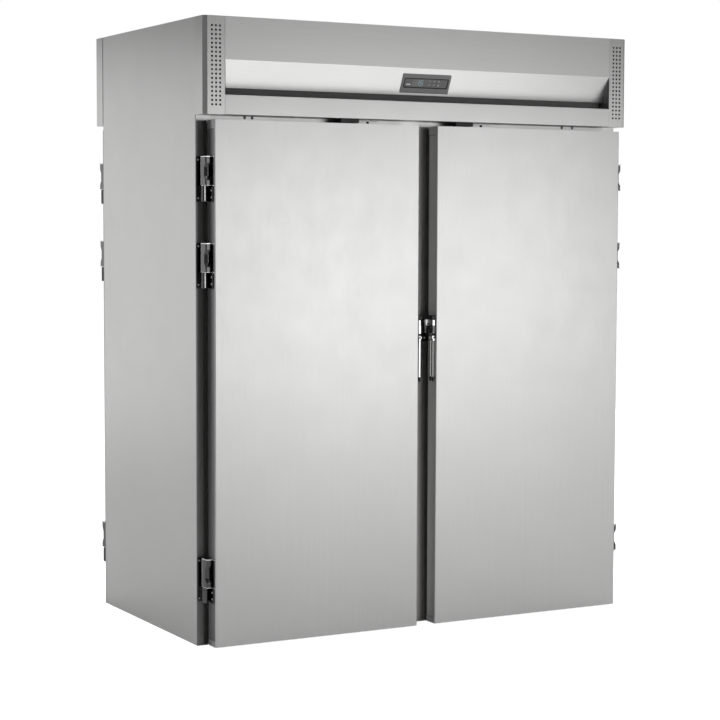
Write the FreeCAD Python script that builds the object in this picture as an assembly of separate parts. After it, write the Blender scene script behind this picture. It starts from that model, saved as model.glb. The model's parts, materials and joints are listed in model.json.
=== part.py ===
"""Roll-through proofing cabinet, millimetres.

Two insulated side walls, a ceiling deck and two door frames make an open
tunnel that racks are rolled through.  Four insulated doors close it, two at
the front and two at the rear.  A machine compartment behind the two fascias
holds the fans, air heaters, humidifier and controls.

Frame: +Z up, +X to the right of a person facing the front, -Y out of the
front.  The origin is on the floor in the middle of the cabinet.
"""

import FreeCAD, Part
import math
import os
from FreeCAD import Vector

# ---------------------------------------------------------------- dimensions
BODY_WIDTH = 1820.0
BODY_DEPTH = 900.0
BODY_HEIGHT = 2250.0
WALL = 60.0                 # insulated side wall, outside to inside
SHEET = 1.5                 # steel sheet
DECK_BOTTOM = 1850.0        # ceiling of the proofing chamber
DECK_TOP = 1905.0           # floor of the machine compartment
POST_WIDTH = 150.0          # centre post between two doors
POST_DEPTH = 60.0

FASCIA_PROJECTION = 78.0    # fascia face ahead of the body face
FASCIA_CHAMFER = 13.0
VENT_STRIP_INNER = 828.0    # half width of the fascia between its vent strips
FASCIA_FOLD = 2098.0        # upright face above, sloping face below
FASCIA_SLOPE_END = 2001.0
FASCIA_SLOPE_DEPTH = 46.0
FASCIA_LIP_TOP = 1975.0

DOOR_INSET = 36.0           # door edge in from the outside of the body
DOOR_GAP = 76.0             # hand gap between the two doors of a face
DOOR_FACE = 86.0            # door face ahead of the body face
DOOR_PAN = 60.0             # depth of the outer door pan
DOOR_BOTTOM = 5.0
DOOR_TOP = 1887.0
LINER_DEPTH = 12.0
GASKET_WIDTH = 14.0
GASKET_CLEARANCE = 1.0

HINGE_LEVELS = (162.0, 1291.0, 1598.0)
HINGE_HEIGHT = 161.0
HINGE_SPLIT = 56.0          # fixed knuckle below, door knuckle above
HINGE_AXIS_IN = 18.0        # hinge axis in from the outside of the body
HINGE_AXIS_OUT = 39.0       # hinge axis ahead of the body face
KNUCKLE_RADIUS = 11.0
PIN_RADIUS = 5.0
RUNNING_CLEARANCE = 0.05

LEVER_PIVOT_Z = 1122.0
LEVER_PIVOT_OUT = 62.0      # lever pivot ahead of the body face
LEVER_TIP_Z = 930.0
LEVER_THICKNESS = 8.0
PRONGS = (-20.5, -1.0)      # front of each prong, from the pivot
PRONG_DEPTH = 8.0
LATCH_TOP = 1178.0
LATCH_PIN_RADIUS = 4.0
NOSE_REACH = 49.0           # cam nose of the lever, from its pivot
NOSE_TILT = 38.0            # degrees up at rest, level at full pull

FAN_OFFSET = 425.0          # fan axis left and right of the middle
FAN_HOLE_RADIUS = 130.0
FAN_BLADES = 6

HALF_WIDTH = BODY_WIDTH / 2
HALF_DEPTH = BODY_DEPTH / 2
SHEET_TOP = BODY_HEIGHT - SHEET
FASCIA_FACE = HALF_DEPTH + FASCIA_PROJECTION
DOOR_HINGE_EDGE = HALF_WIDTH - DOOR_INSET
DOOR_LATCH_EDGE = DOOR_GAP / 2
DOOR_FRONT = HALF_DEPTH + DOOR_FACE
DOOR_BACK = DOOR_FRONT - DOOR_PAN
LINER_BACK = DOOR_BACK - LINER_DEPTH
LINER_INSET = 10.0
HINGE_X = HALF_WIDTH - HINGE_AXIS_IN
HINGE_Y = HALF_DEPTH + HINGE_AXIS_OUT
LEVER_Y = HALF_DEPTH + LEVER_PIVOT_OUT
UP = Vector(0, 0, 1)


# ------------------------------------------------------------------- helpers
def box(x0, x1, y0, y1, z0, z1):
    """Block between two corners given as limits on X, Y and Z."""
    low = Vector(min(x0, x1), min(y0, y1), min(z0, z1))
    return Part.makeBox(abs(x1 - x0), abs(y1 - y0), abs(z1 - z0), low)


def rod(radius, start, end):
    """Round bar between two points."""
    start = Vector(*start)
    span = Vector(*end) - start
    return Part.makeCylinder(radius, span.Length, start, span)


def prism(points, direction):
    """Flat outline, given as 3-D points, pushed along a direction."""
    outline = [Vector(*point) for point in points]
    wire = Part.makePolygon(outline + outline[:1])
    return Part.Face(wire).extrude(Vector(*direction))


def offset_line(points, distance):
    """2-D open line moved to its left by a distance, with mitred corners."""
    normals = []
    for (ax, ay), (bx, by) in zip(points, points[1:]):
        length = math.hypot(bx - ax, by - ay)
        normals.append((-(by - ay) / length, (bx - ax) / length))
    moved = []
    for index, (px, py) in enumerate(points):
        before = normals[max(index - 1, 0)]
        after = normals[min(index, len(normals) - 1)]
        scale = distance / (1 + before[0] * after[0] + before[1] * after[1])
        moved.append((px + (before[0] + after[0]) * scale, py + (before[1] + after[1]) * scale))
    return moved


def bent_sheet_yz(points, x0, x1, thickness=SHEET):
    """Sheet folded along X from a line in Y and Z, thickened to the left of it."""
    outline = points + offset_line(points, thickness)[::-1]
    return prism([(x0, y, z) for y, z in outline], (x1 - x0, 0, 0))


def bent_sheet_xy(points, z0, z1, thickness=SHEET):
    """Sheet folded along Z from a line in X and Y, thickened to the left of it."""
    outline = points + offset_line(points, thickness)[::-1]
    return prism([(x, y, z0) for x, y in outline], (0, 0, z1 - z0))


def fuse(*shapes):
    """One solid from shapes that touch or overlap."""
    return shapes[0].multiFuse(list(shapes[1:])).removeSplitter()


def group(shapes):
    """Separate solids kept together in one node."""
    return Part.makeCompound([solid for shape in shapes for solid in shape.Solids])


def mirrored(shape, axis):
    """Mirror image across the plane through the origin, square to an axis."""
    return shape.mirror(Vector(0, 0, 0), axis)


def to_corner(shape, side, face):
    """Copy of a front left piece placed at a side (-1 left) and a face (-1 front)."""
    if side > 0:
        shape = mirrored(shape, Vector(1, 0, 0))
    if face > 0:
        shape = mirrored(shape, Vector(0, 1, 0))
    return shape


def at_all_corners(shape):
    """A front left piece repeated at all four doors."""
    return group([to_corner(shape, side, face) for side in (-1, 1) for face in (-1, 1)])


def left_and_right(shape):
    """A left piece with its mirror image on the right."""
    return group([shape, mirrored(shape, Vector(1, 0, 0))])


def save(name, shape):
    """Write one node's STEP file."""
    solids = shape.Solids
    assert solids and all(solid.isValid() for solid in solids), name
    Part.makeCompound(solids).exportStep(f"parts/{name}.step")


# --------------------------------------------------------------------- body
def side_panel():
    """Left outer skin: a pan of sheet closed at the front, rear and floor."""
    outer = box(-HALF_WIDTH, -HALF_WIDTH + WALL, -HALF_DEPTH, HALF_DEPTH, 0, SHEET_TOP)
    hollow = box(
        -HALF_WIDTH + SHEET, -HALF_WIDTH + WALL + 1,
        -HALF_DEPTH + SHEET, HALF_DEPTH - SHEET, 3, SHEET_TOP + 1,
    )
    return outer.cut(hollow)


def body_insulation():
    """Foam slabs inside both walls and in the ceiling deck."""
    wall = box(
        -HALF_WIDTH + SHEET, -HALF_WIDTH + WALL - SHEET,
        -HALF_DEPTH + SHEET, HALF_DEPTH - SHEET, 3, DECK_TOP,
    )
    inside = HALF_WIDTH - WALL - SHEET
    reach = HALF_DEPTH - POST_DEPTH - SHEET
    deck = box(-inside, inside, -reach, reach, DECK_BOTTOM + SHEET, DECK_TOP)
    return group([left_and_right(wall), deck.cut(air_holes(FAN_HOLE_RADIUS + SHEET))])


def side_liner():
    """Inner steel sheet of the left wall."""
    inner = -HALF_WIDTH + WALL
    return box(inner - SHEET, inner, -HALF_DEPTH + SHEET, HALF_DEPTH - SHEET, 3, DECK_TOP)


def side_breaker():
    """Plastic breaker strip on the front edge of the left wall."""
    return box(-HALF_WIDTH + 1, -867, -HALF_DEPTH - 3, -HALF_DEPTH, 0, DOOR_TOP)


def air_holes(radius):
    """Round drills through the ceiling deck, one under each fan."""
    drills = [
        Part.makeCylinder(radius, DECK_TOP - DECK_BOTTOM + 20, Vector(x, 0, DECK_BOTTOM - 10))
        for x in (-FAN_OFFSET, FAN_OFFSET)
    ]
    return Part.makeCompound(drills)


def ceiling_deck():
    """Steel tray of the ceiling, open to the foam above, with a collar round each air hole."""
    inside = HALF_WIDTH - WALL
    reach = HALF_DEPTH - POST_DEPTH
    outer = box(-inside, inside, -reach, reach, DECK_BOTTOM, DECK_TOP)
    hollow = box(
        -inside + SHEET, inside - SHEET, -reach + SHEET, reach - SHEET,
        DECK_BOTTOM + SHEET, DECK_TOP + 1,
    )
    collars = [
        Part.makeCylinder(FAN_HOLE_RADIUS + SHEET, DECK_TOP - DECK_BOTTOM, Vector(x, 0, DECK_BOTTOM))
        for x in (-FAN_OFFSET, FAN_OFFSET)
    ]
    return fuse(outer.cut(hollow), *collars).cut(air_holes(FAN_HOLE_RADIUS))


def box_section(x0, x1, y0, y1, z0, z1, along):
    """Folded steel tube between two corners, open at both ends along one axis."""
    wall = 2.0
    grow = {axis: 1.0 if axis == along else -wall for axis in "xyz"}
    hollow = box(
        x0 - grow["x"], x1 + grow["x"], y0 - grow["y"], y1 + grow["y"], z0 - grow["z"], z1 + grow["z"]
    )
    return box(x0, x1, y0, y1, z0, z1).cut(hollow)


def door_frames():
    """Centre post and lintel at the front and at the rear."""
    inside = HALF_WIDTH - WALL
    outer = -HALF_DEPTH
    inner = -HALF_DEPTH + POST_DEPTH
    post = box_section(-POST_WIDTH / 2, POST_WIDTH / 2, outer, inner, 0, DECK_BOTTOM, "z")
    lintel = box_section(-inside, inside, outer, inner, DECK_BOTTOM, DECK_TOP, "x")
    front = group([post, lintel])
    return group([front, mirrored(front, Vector(0, 1, 0))])


def top_cover():
    """Flat lid over the body and both fascias, with chamfered corners."""
    corner = (HALF_WIDTH - FASCIA_CHAMFER, FASCIA_FACE)
    side = (HALF_WIDTH, FASCIA_FACE - FASCIA_CHAMFER)
    outline = [
        (-side[0], -side[1]), (-corner[0], -corner[1]), (corner[0], -corner[1]), (side[0], -side[1]),
        (side[0], side[1]), (corner[0], corner[1]), (-corner[0], corner[1]), (-side[0], side[1]),
    ]
    return prism([(x, y, SHEET_TOP) for x, y in outline], (0, 0, SHEET))


def trolley_bumpers():
    """Rails that keep the racks off the walls and off each other."""
    rails = []
    wall = -HALF_WIDTH + WALL
    for level in (230.0, 880.0):
        rails.append(left_and_right(box(wall, wall + 30, -380, 380, level, level + 60)))
        rails.append(box(-15, 15, -HALF_DEPTH + POST_DEPTH, HALF_DEPTH - POST_DEPTH, level, level + 60))
    return group(rails)


# ------------------------------------------------------------------- fascia
def fascia_panel():
    """Front fascia sheet: upright, then sloping in to a stiffening hem."""
    profile = [
        (-FASCIA_FACE, SHEET_TOP),
        (-FASCIA_FACE, FASCIA_FOLD),
        (-FASCIA_FACE + FASCIA_SLOPE_DEPTH, FASCIA_SLOPE_END),
        (-FASCIA_FACE + FASCIA_SLOPE_DEPTH + 16, FASCIA_SLOPE_END),
    ]
    return bent_sheet_yz(profile, -VENT_STRIP_INNER, VENT_STRIP_INNER)


def fascia_lip():
    """Lower fascia channel with the air slot above it and the door gap below."""
    back = -HALF_DEPTH - 1
    profile = [
        (back, FASCIA_LIP_TOP), (-FASCIA_FACE, FASCIA_LIP_TOP),
        (-FASCIA_FACE, DECK_TOP), (back, DECK_TOP),
    ]
    return bent_sheet_yz(profile, -VENT_STRIP_INNER, VENT_STRIP_INNER)


def vent_holes():
    """Drills for one vent strip: three columns of nineteen holes."""
    radius = 4.0
    centre_x = -863.0
    centre_z = 2077.0
    pitch_x = 15.5
    pitch_z = 15.3
    drills = []
    for column in (-1, 0, 1):
        for row in range(-9, 10):
            base = Vector(centre_x + column * pitch_x, -FASCIA_FACE - 2, centre_z + row * pitch_z)
            drills.append(Part.makeCylinder(radius, 6, base, Vector(0, 1, 0)))
    return Part.makeCompound(drills)


def fascia_end():
    """Left end of the front fascia: side return, chamfer, vent strip and cheek."""
    plan = [
        (-HALF_WIDTH, -HALF_DEPTH),
        (-HALF_WIDTH, -FASCIA_FACE + FASCIA_CHAMFER),
        (-HALF_WIDTH + FASCIA_CHAMFER, -FASCIA_FACE),
        (-VENT_STRIP_INNER, -FASCIA_FACE),
        (-VENT_STRIP_INNER, -HALF_DEPTH - 1),
    ]
    inner = offset_line(plan, SHEET)
    floor = prism([(x, y, DECK_TOP) for x, y in inner], (0, 0, SHEET))
    walls = bent_sheet_xy(plan, DECK_TOP, SHEET_TOP)
    return fuse(walls, floor).cut(vent_holes())


# ------------------------------------------------------------------ control
def slope_frame():
    """Middle of the sloping fascia face, its downhill direction and its outward normal."""
    drop = FASCIA_FOLD - FASCIA_SLOPE_END
    length = math.hypot(FASCIA_SLOPE_DEPTH, drop)
    downhill = Vector(0, FASCIA_SLOPE_DEPTH / length, -drop / length)
    normal = Vector(0, -drop / length, -FASCIA_SLOPE_DEPTH / length)
    return Vector(0, -FASCIA_FACE, FASCIA_FOLD), downhill, normal


def slope_plate(x0, x1, near, far, low, high):
    """Plate on the slope from near to far downhill, and from low to high off the face."""
    origin, downhill, normal = slope_frame()
    start = origin + downhill * near + normal * low + Vector(x0, 0, 0)
    edge = downhill * (far - near)
    across = Vector(x1 - x0, 0, 0)
    corners = [start, start + edge, start + edge + across, start + across]
    return prism([tuple(corner) for corner in corners], tuple(normal * (high - low)))


def control_plate():
    """Grey surround of the controller, with its window cut out."""
    plate = slope_plate(-98, 110, 22, 97, 0.0, 3.0)
    window = slope_plate(-90, 102, 37, 77, -1.0, 4.0)
    return plate.cut(window)


def control_window():
    """Touch window of the controller, a little below its surround."""
    return slope_plate(-89.5, 101.5, 37.5, 76.5, 0.0, 2.0)


def control_board():
    """Controller circuit board behind the fascia."""
    return slope_plate(-80, 92, 36, 78, -18.0, -6.0)


# ------------------------------------------------------- machine compartment
def fan_housing():
    """Open-bottomed duct box over the left air hole, with a hole for the shaft."""
    half = 190.0
    outer = box(-half, half, -half, half, DECK_TOP, 2010)
    inner = box(-half + SHEET, half - SHEET, -half + SHEET, half - SHEET, DECK_TOP - 1, 2010 - SHEET)
    shaft_hole = Part.makeCylinder(15, 20, Vector(0, 0, 2000))
    housing = outer.cut(inner).cut(shaft_hole)
    housing.translate(Vector(-FAN_OFFSET, 0, 0))
    return housing


def fan_motor():
    """Motor on the left duct box, with the shaft's bearing bore in its end."""
    can = Part.makeCylinder(48, 110, Vector(0, 0, 2012))
    flange = Part.makeCylinder(62, 2, Vector(0, 0, 2010))
    cap = Part.makeCylinder(40, 12, Vector(0, 0, 2122))
    bore = Part.makeCylinder(6 + RUNNING_CLEARANCE, 62, Vector(0, 0, 2009))
    motor = fuse(can, flange, cap).cut(bore)
    motor.translate(Vector(-FAN_OFFSET, 0, 0))
    return motor


def fan_rotor(x):
    """Axial impeller with its shaft, under the duct box at x."""
    hub = Part.makeCylinder(30, 34, Vector(0, 0, 1925))
    shaft = Part.makeCylinder(6, 136, Vector(0, 0, 1930))
    pieces = [hub, shaft]
    for index in range(FAN_BLADES):
        blade = box(24, 118, -26, 26, -1.2, 1.2)
        blade.rotate(Vector(0, 0, 0), Vector(1, 0, 0), 28)
        blade.translate(Vector(0, 0, 1942))
        blade.rotate(Vector(0, 0, 0), UP, index * 360 / FAN_BLADES)
        pieces.append(blade)
    rotor = fuse(*pieces)
    rotor.translate(Vector(x, 0, 0))
    return rotor


def air_heater():
    """Two round heater tubes about the left impeller, on four clips."""
    rings = [Part.makeTorus(150, 4.5, Vector(0, 0, z)) for z in (1925.0, 1950.0)]
    clips = []
    for index in range(4):
        clip = box(143, 160, -5, 5, DECK_TOP, 1956)
        clip.rotate(Vector(0, 0, 0), UP, 45 + index * 90)
        clips.append(clip)
    heater = fuse(*rings, *clips)
    heater.translate(Vector(-FAN_OFFSET, 0, 0))
    return heater


def ceiling_grille():
    """Slotted guard in the left air hole, flush with the ceiling."""
    disc = Part.makeCylinder(FAN_HOLE_RADIUS - 0.5, 3, Vector(0, 0, DECK_BOTTOM))
    slots = []
    for index in range(-4, 5):
        y = index * 26.0
        reach = math.sqrt((FAN_HOLE_RADIUS - 14) ** 2 - y * y)
        slots.append(box(-reach, reach, y - 8, y + 8, DECK_BOTTOM - 1, DECK_BOTTOM + 4))
    grille = disc.cut(Part.makeCompound(slots))
    grille.translate(Vector(-FAN_OFFSET, 0, 0))
    return grille


def humidifier():
    """Steam boiler on the deck, with its outlet pipe through the ceiling."""
    tank = Part.makeCylinder(62, 200, Vector(0, 170, DECK_TOP))
    lid = Part.makeCylinder(70, 8, Vector(0, 170, DECK_TOP + 200))
    riser = rod(14, (0, 170, DECK_TOP + 205), (0, 170, DECK_TOP + 240))
    cross = rod(14, (0, 170, DECK_TOP + 240), (0, 40, DECK_TOP + 240))
    elbow = Part.makeSphere(14, Vector(0, 170, DECK_TOP + 240))
    bend = Part.makeSphere(14, Vector(0, 40, DECK_TOP + 240))
    drop = rod(14, (0, 40, DECK_TOP + 240), (0, 40, DECK_TOP))
    return fuse(tank, lid, riser, cross, elbow, bend, drop)


def electrical_box():
    """Relay and terminal case on the deck behind the controller, open at its base."""
    case = box(-160, 160, -330, -210, DECK_TOP, DECK_TOP + 170)
    lid = box(-166, 166, -336, -204, DECK_TOP + 170, DECK_TOP + 176)
    hollow = box(-157, 157, -327, -213, DECK_TOP - 1, DECK_TOP + 168)
    return fuse(case, lid).cut(hollow)


def cable_gland():
    """Supply cable gland through the rear fascia."""
    nut = prism(
        [
            (560 + 13 * math.cos(math.radians(60 * k)), FASCIA_FACE, 2170 + 13 * math.sin(math.radians(60 * k)))
            for k in range(6)
        ],
        (0, 7, 0),
    )
    stem = rod(8, (560, FASCIA_FACE - 22, 2170), (560, FASCIA_FACE, 2170))
    bore = rod(5, (560, FASCIA_FACE - 30, 2170), (560, FASCIA_FACE + 10, 2170))
    return fuse(nut, stem).cut(bore)


def humidity_probe():
    """Air temperature and humidity probe under the ceiling."""
    stem = Part.makeCylinder(5, 60, Vector(0, -150, DECK_BOTTOM - 60))
    collar = Part.makeCylinder(14, 6, Vector(0, -150, DECK_BOTTOM - 6))
    guard = Part.makeCylinder(9, 34, Vector(0, -150, DECK_BOTTOM - 70))
    return fuse(stem, collar, guard)


def ceiling_lamps():
    """Two round sealed lamps under the ceiling, between the bays."""
    lamps = []
    for y in (-270.0, 270.0):
        base = Part.makeCylinder(58, 14, Vector(0, y, DECK_BOTTOM - 14))
        dome = Part.makeCone(50, 34, 22, Vector(0, y, DECK_BOTTOM - 14), Vector(0, 0, -1))
        lamps.append(fuse(base, dome))
    return group(lamps)


# -------------------------------------------------------------------- doors
def door_skin():
    """Front left outer door pan, open towards the cabinet."""
    outer = box(-DOOR_HINGE_EDGE, -DOOR_LATCH_EDGE, -DOOR_FRONT, -DOOR_BACK, DOOR_BOTTOM, DOOR_TOP)
    hollow = box(
        -DOOR_HINGE_EDGE + SHEET, -DOOR_LATCH_EDGE - SHEET,
        -DOOR_FRONT + SHEET, -DOOR_BACK + 1, DOOR_BOTTOM + SHEET, DOOR_TOP - SHEET,
    )
    return outer.cut(hollow)


def door_liner():
    """Shallow inner door pan, open towards the foam."""
    left = -DOOR_HINGE_EDGE + LINER_INSET
    right = -DOOR_LATCH_EDGE - LINER_INSET
    low = DOOR_BOTTOM + LINER_INSET
    high = DOOR_TOP - LINER_INSET
    outer = box(left, right, -DOOR_BACK, -LINER_BACK, low, high)
    hollow = box(
        left + SHEET, right - SHEET,
        -DOOR_BACK - 1, -LINER_BACK - SHEET, low + SHEET, high - SHEET,
    )
    return outer.cut(hollow)


def door_core():
    """Foam that fills the two door pans."""
    main = box(
        -DOOR_HINGE_EDGE + SHEET, -DOOR_LATCH_EDGE - SHEET,
        -DOOR_FRONT + SHEET, -DOOR_BACK, DOOR_BOTTOM + SHEET, DOOR_TOP - SHEET,
    )
    edge = LINER_INSET + SHEET
    step = box(
        -DOOR_HINGE_EDGE + edge, -DOOR_LATCH_EDGE - edge,
        -DOOR_BACK, -LINER_BACK - SHEET, DOOR_BOTTOM + edge, DOOR_TOP - edge,
    )
    return fuse(main, step)


def door_seals():
    """Magnetic gasket bars on three sides and a sweep blade along the floor."""
    left = -DOOR_HINGE_EDGE + LINER_INSET
    right = -DOOR_LATCH_EDGE - LINER_INSET
    low = DOOR_BOTTOM + LINER_INSET
    high = DOOR_TOP - LINER_INSET
    face = -HALF_DEPTH - GASKET_CLEARANCE
    hinge_bar = box(left, left + GASKET_WIDTH, -LINER_BACK, face, low, high)
    latch_bar = box(right - GASKET_WIDTH, right, -LINER_BACK, face, low, high)
    top_bar = box(left + GASKET_WIDTH, right - GASKET_WIDTH, -LINER_BACK, face, high - GASKET_WIDTH, high)
    sweep = box(left + GASKET_WIDTH, right - GASKET_WIDTH, -LINER_BACK, -LINER_BACK + 4, 1, 42)
    return group([hinge_bar, latch_bar, top_bar, sweep])


def hinge_base(level):
    """Fixed half of one hinge: wall plate, web, lower knuckle and pin."""
    plate = box(-HINGE_X - 15, -HINGE_X + 15, -HALF_DEPTH - 7, -HALF_DEPTH - 3, level, level + HINGE_HEIGHT)
    web = box(-HINGE_X - 5, -HINGE_X + 5, -HINGE_Y, -HALF_DEPTH - 7, level, level + HINGE_SPLIT)
    knuckle = Part.makeCylinder(KNUCKLE_RADIUS, HINGE_SPLIT, Vector(-HINGE_X, -HINGE_Y, level))
    pin = Part.makeCylinder(PIN_RADIUS, HINGE_HEIGHT - 12, Vector(-HINGE_X, -HINGE_Y, level))
    return fuse(plate, web, knuckle, pin)


def cover_outline(z, narrow):
    """Plan of the hinge cover at a height, from full width (narrow 0) to its waist (1)."""
    left = -HINGE_X - 7
    right = -DOOR_HINGE_EDGE
    back = -HINGE_Y + 14
    front = -HINGE_Y - 27 + 5 * narrow
    left_chamfer = 3.5 + 6 * narrow
    right_chamfer = 3.5 + 4.5 * narrow
    plan = [
        (left, back), (left, front + left_chamfer), (left + left_chamfer, front),
        (right - right_chamfer, front), (right, front + right_chamfer), (right, back),
    ]
    points = [Vector(x, y, z) for x, y in plan]
    return Part.makePolygon(points + points[:1])


def hinge_cover(level):
    """Bevelled cover of the door knuckle: full width at its two ends, a narrow waist between."""
    low = level + HINGE_SPLIT + 1
    high = level + HINGE_HEIGHT
    stations = [
        (low, 0), (low + 18, 0), (low + 33, 1), (high - 36, 1), (high - 20, 0), (high, 0),
    ]
    body = Part.makeLoft([cover_outline(z, narrow) for z, narrow in stations], True, True)
    bore = Part.makeCylinder(
        PIN_RADIUS + RUNNING_CLEARANCE, HINGE_HEIGHT - HINGE_SPLIT - 10, Vector(-HINGE_X, -HINGE_Y, low - 1)
    )
    return body.cut(bore)


def hinge_strap(level):
    """Door half of one hinge: leaf on the door edge and covered knuckle."""
    leaf = box(
        -DOOR_HINGE_EDGE - 3, -DOOR_HINGE_EDGE, -DOOR_FRONT + 4, -DOOR_BACK - 2,
        level, level + HINGE_HEIGHT,
    )
    return fuse(leaf, hinge_cover(level))


def latch_housing():
    """Latch case on the door's free edge: back plate, top block, cover and lever pin."""
    edge = -DOOR_LATCH_EDGE
    front = -DOOR_FRONT + 2
    back = -DOOR_BACK - 2
    plate = box(edge, edge + 3, front, back, LEVER_PIVOT_Z - 30, LATCH_TOP)
    block = box(edge, edge + 17, front, back, LATCH_TOP - 15, LATCH_TOP)
    cover = box(edge + 13, edge + 17, front, back, LEVER_PIVOT_Z + 3, LATCH_TOP)
    ear = box(edge + 13, edge + 17, -LEVER_Y - 12, -LEVER_Y + 12, LEVER_PIVOT_Z - 10, LEVER_PIVOT_Z + 3)
    pin = rod(LATCH_PIN_RADIUS, (edge, -LEVER_Y, LEVER_PIVOT_Z), (edge + 17, -LEVER_Y, LEVER_PIVOT_Z))
    return fuse(plate, block, cover, ear, pin)


def latch_lever():
    """Forked pull lever with a cam nose that pushes the door off its seal."""
    near = -DOOR_LATCH_EDGE + 4
    hub = rod(15, (near, -LEVER_Y, LEVER_PIVOT_Z), (near + LEVER_THICKNESS, -LEVER_Y, LEVER_PIVOT_Z))
    nose_tilt = math.radians(NOSE_TILT)
    along = Vector(0, math.cos(nose_tilt), math.sin(nose_tilt))
    across = Vector(0, -math.sin(nose_tilt), math.cos(nose_tilt))
    centre = Vector(near, -LEVER_Y, LEVER_PIVOT_Z)
    nose = prism(
        [
            tuple(centre + across * 8), tuple(centre - across * 8),
            tuple(centre + along * NOSE_REACH - across * 6), tuple(centre + along * NOSE_REACH + across * 6),
        ],
        (LEVER_THICKNESS, 0, 0),
    )
    bridge = box(
        near, near + LEVER_THICKNESS, -LEVER_Y + PRONGS[0], -LEVER_Y + PRONGS[1] + PRONG_DEPTH,
        LEVER_PIVOT_Z - 40, LEVER_PIVOT_Z - 12,
    )
    prongs = [
        box(near, near + LEVER_THICKNESS, -LEVER_Y + y, -LEVER_Y + y + PRONG_DEPTH, LEVER_TIP_Z, LEVER_PIVOT_Z - 36)
        for y in PRONGS
    ]
    bore = rod(
        LATCH_PIN_RADIUS + RUNNING_CLEARANCE,
        (near - 1, -LEVER_Y, LEVER_PIVOT_Z), (near + LEVER_THICKNESS + 1, -LEVER_Y, LEVER_PIVOT_Z),
    )
    return fuse(hub, nose, bridge, *prongs).cut(bore)


def latch_keeper():
    """Pad on the centre post that the lever's nose pushes against."""
    return box(-44, -20, -HALF_DEPTH - 10, -HALF_DEPTH, LEVER_PIVOT_Z - 45, LEVER_PIVOT_Z + 45)


def door_switch(x):
    """Door switch under the front fascia, with its feeler arm and knob to the right of it."""
    body = box(x, x + 76, -FASCIA_FACE + 8, -FASCIA_FACE + 38, DOOR_TOP + 3, DECK_TOP)
    arm = box(x + 76, x + 160, -FASCIA_FACE + 18, -FASCIA_FACE + 30, DECK_TOP - 8, DECK_TOP - 6)
    knob = Part.makeCylinder(5, 7, Vector(x + 120, -FASCIA_FACE + 24, DECK_TOP - 15))
    return fuse(body, arm, knob)


def door_switches():
    """One switch over each door."""
    front = [door_switch(x) for x in (-362.0, 130.0)]
    return group(front + [mirrored(switch, Vector(0, 1, 0)) for switch in front])


# ------------------------------------------------------------------ assembly
def body_nodes():
    """Nodes that don't move, by name."""
    left_panel = side_panel()
    nodes = {
        "side_panel_left": left_panel,
        "side_panel_right": mirrored(left_panel, Vector(1, 0, 0)),
        "body_insulation": body_insulation(),
        "side_liners": left_and_right(side_liner()),
        "side_breakers": at_all_corners(side_breaker()),
        "ceiling_deck": ceiling_deck(),
        "door_frames": door_frames(),
        "top_cover": top_cover(),
        "trolley_bumpers": trolley_bumpers(),
        "control_plate": control_plate(),
        "control_window": control_window(),
        "control_board": control_board(),
        "fan_housings": left_and_right(fan_housing()),
        "fan_motors": left_and_right(fan_motor()),
        "air_heaters": left_and_right(air_heater()),
        "ceiling_grilles": left_and_right(ceiling_grille()),
        "humidifier": humidifier(),
        "electrical_box": electrical_box(),
        "cable_gland": cable_gland(),
        "humidity_probe": humidity_probe(),
        "ceiling_lamps": ceiling_lamps(),
        "hinge_bases": at_all_corners(group([hinge_base(level) for level in HINGE_LEVELS])),
        "latch_keepers": at_all_corners(latch_keeper()),
        "door_switches": door_switches(),
    }
    gland_hole = rod(8, (560, FASCIA_FACE - 30, 2170), (560, FASCIA_FACE + 10, 2170))
    for face, direction in (("front", -1), ("rear", 1)):
        nodes[f"{face}_fascia_panel"] = to_corner(fascia_panel(), -1, direction)
        nodes[f"{face}_fascia_lip"] = to_corner(fascia_lip(), -1, direction)
        nodes[f"{face}_fascia_ends"] = to_corner(left_and_right(fascia_end()), -1, direction)
    nodes["rear_fascia_panel"] = nodes["rear_fascia_panel"].cut(gland_hole)
    return nodes


def door_nodes():
    """Nodes of the four doors, by name."""
    pieces = {
        "skin": door_skin(),
        "core": door_core(),
        "liner": door_liner(),
        "seals": door_seals(),
        "hinge_straps": group([hinge_strap(level) for level in HINGE_LEVELS]),
        "latch_housing": latch_housing(),
        "latch_lever": latch_lever(),
    }
    nodes = {}
    for face, direction in (("front", -1), ("rear", 1)):
        for side, sign in (("left", -1), ("right", 1)):
            for piece, shape in pieces.items():
                nodes[f"{face}_{side}_door_{piece}"] = to_corner(shape, sign, direction)
    return nodes


def main():
    """Build every node and write its STEP file."""
    os.makedirs("parts", exist_ok=True)
    nodes = body_nodes()
    nodes.update(door_nodes())
    nodes["fan_rotor_left"] = fan_rotor(-FAN_OFFSET)
    nodes["fan_rotor_right"] = fan_rotor(FAN_OFFSET)
    for name, shape in nodes.items():
        save(name, shape)
    print(len(nodes), "nodes written")


main()
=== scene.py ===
import json
import math

import bmesh
import bpy
from mathutils import Matrix, Vector

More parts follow.
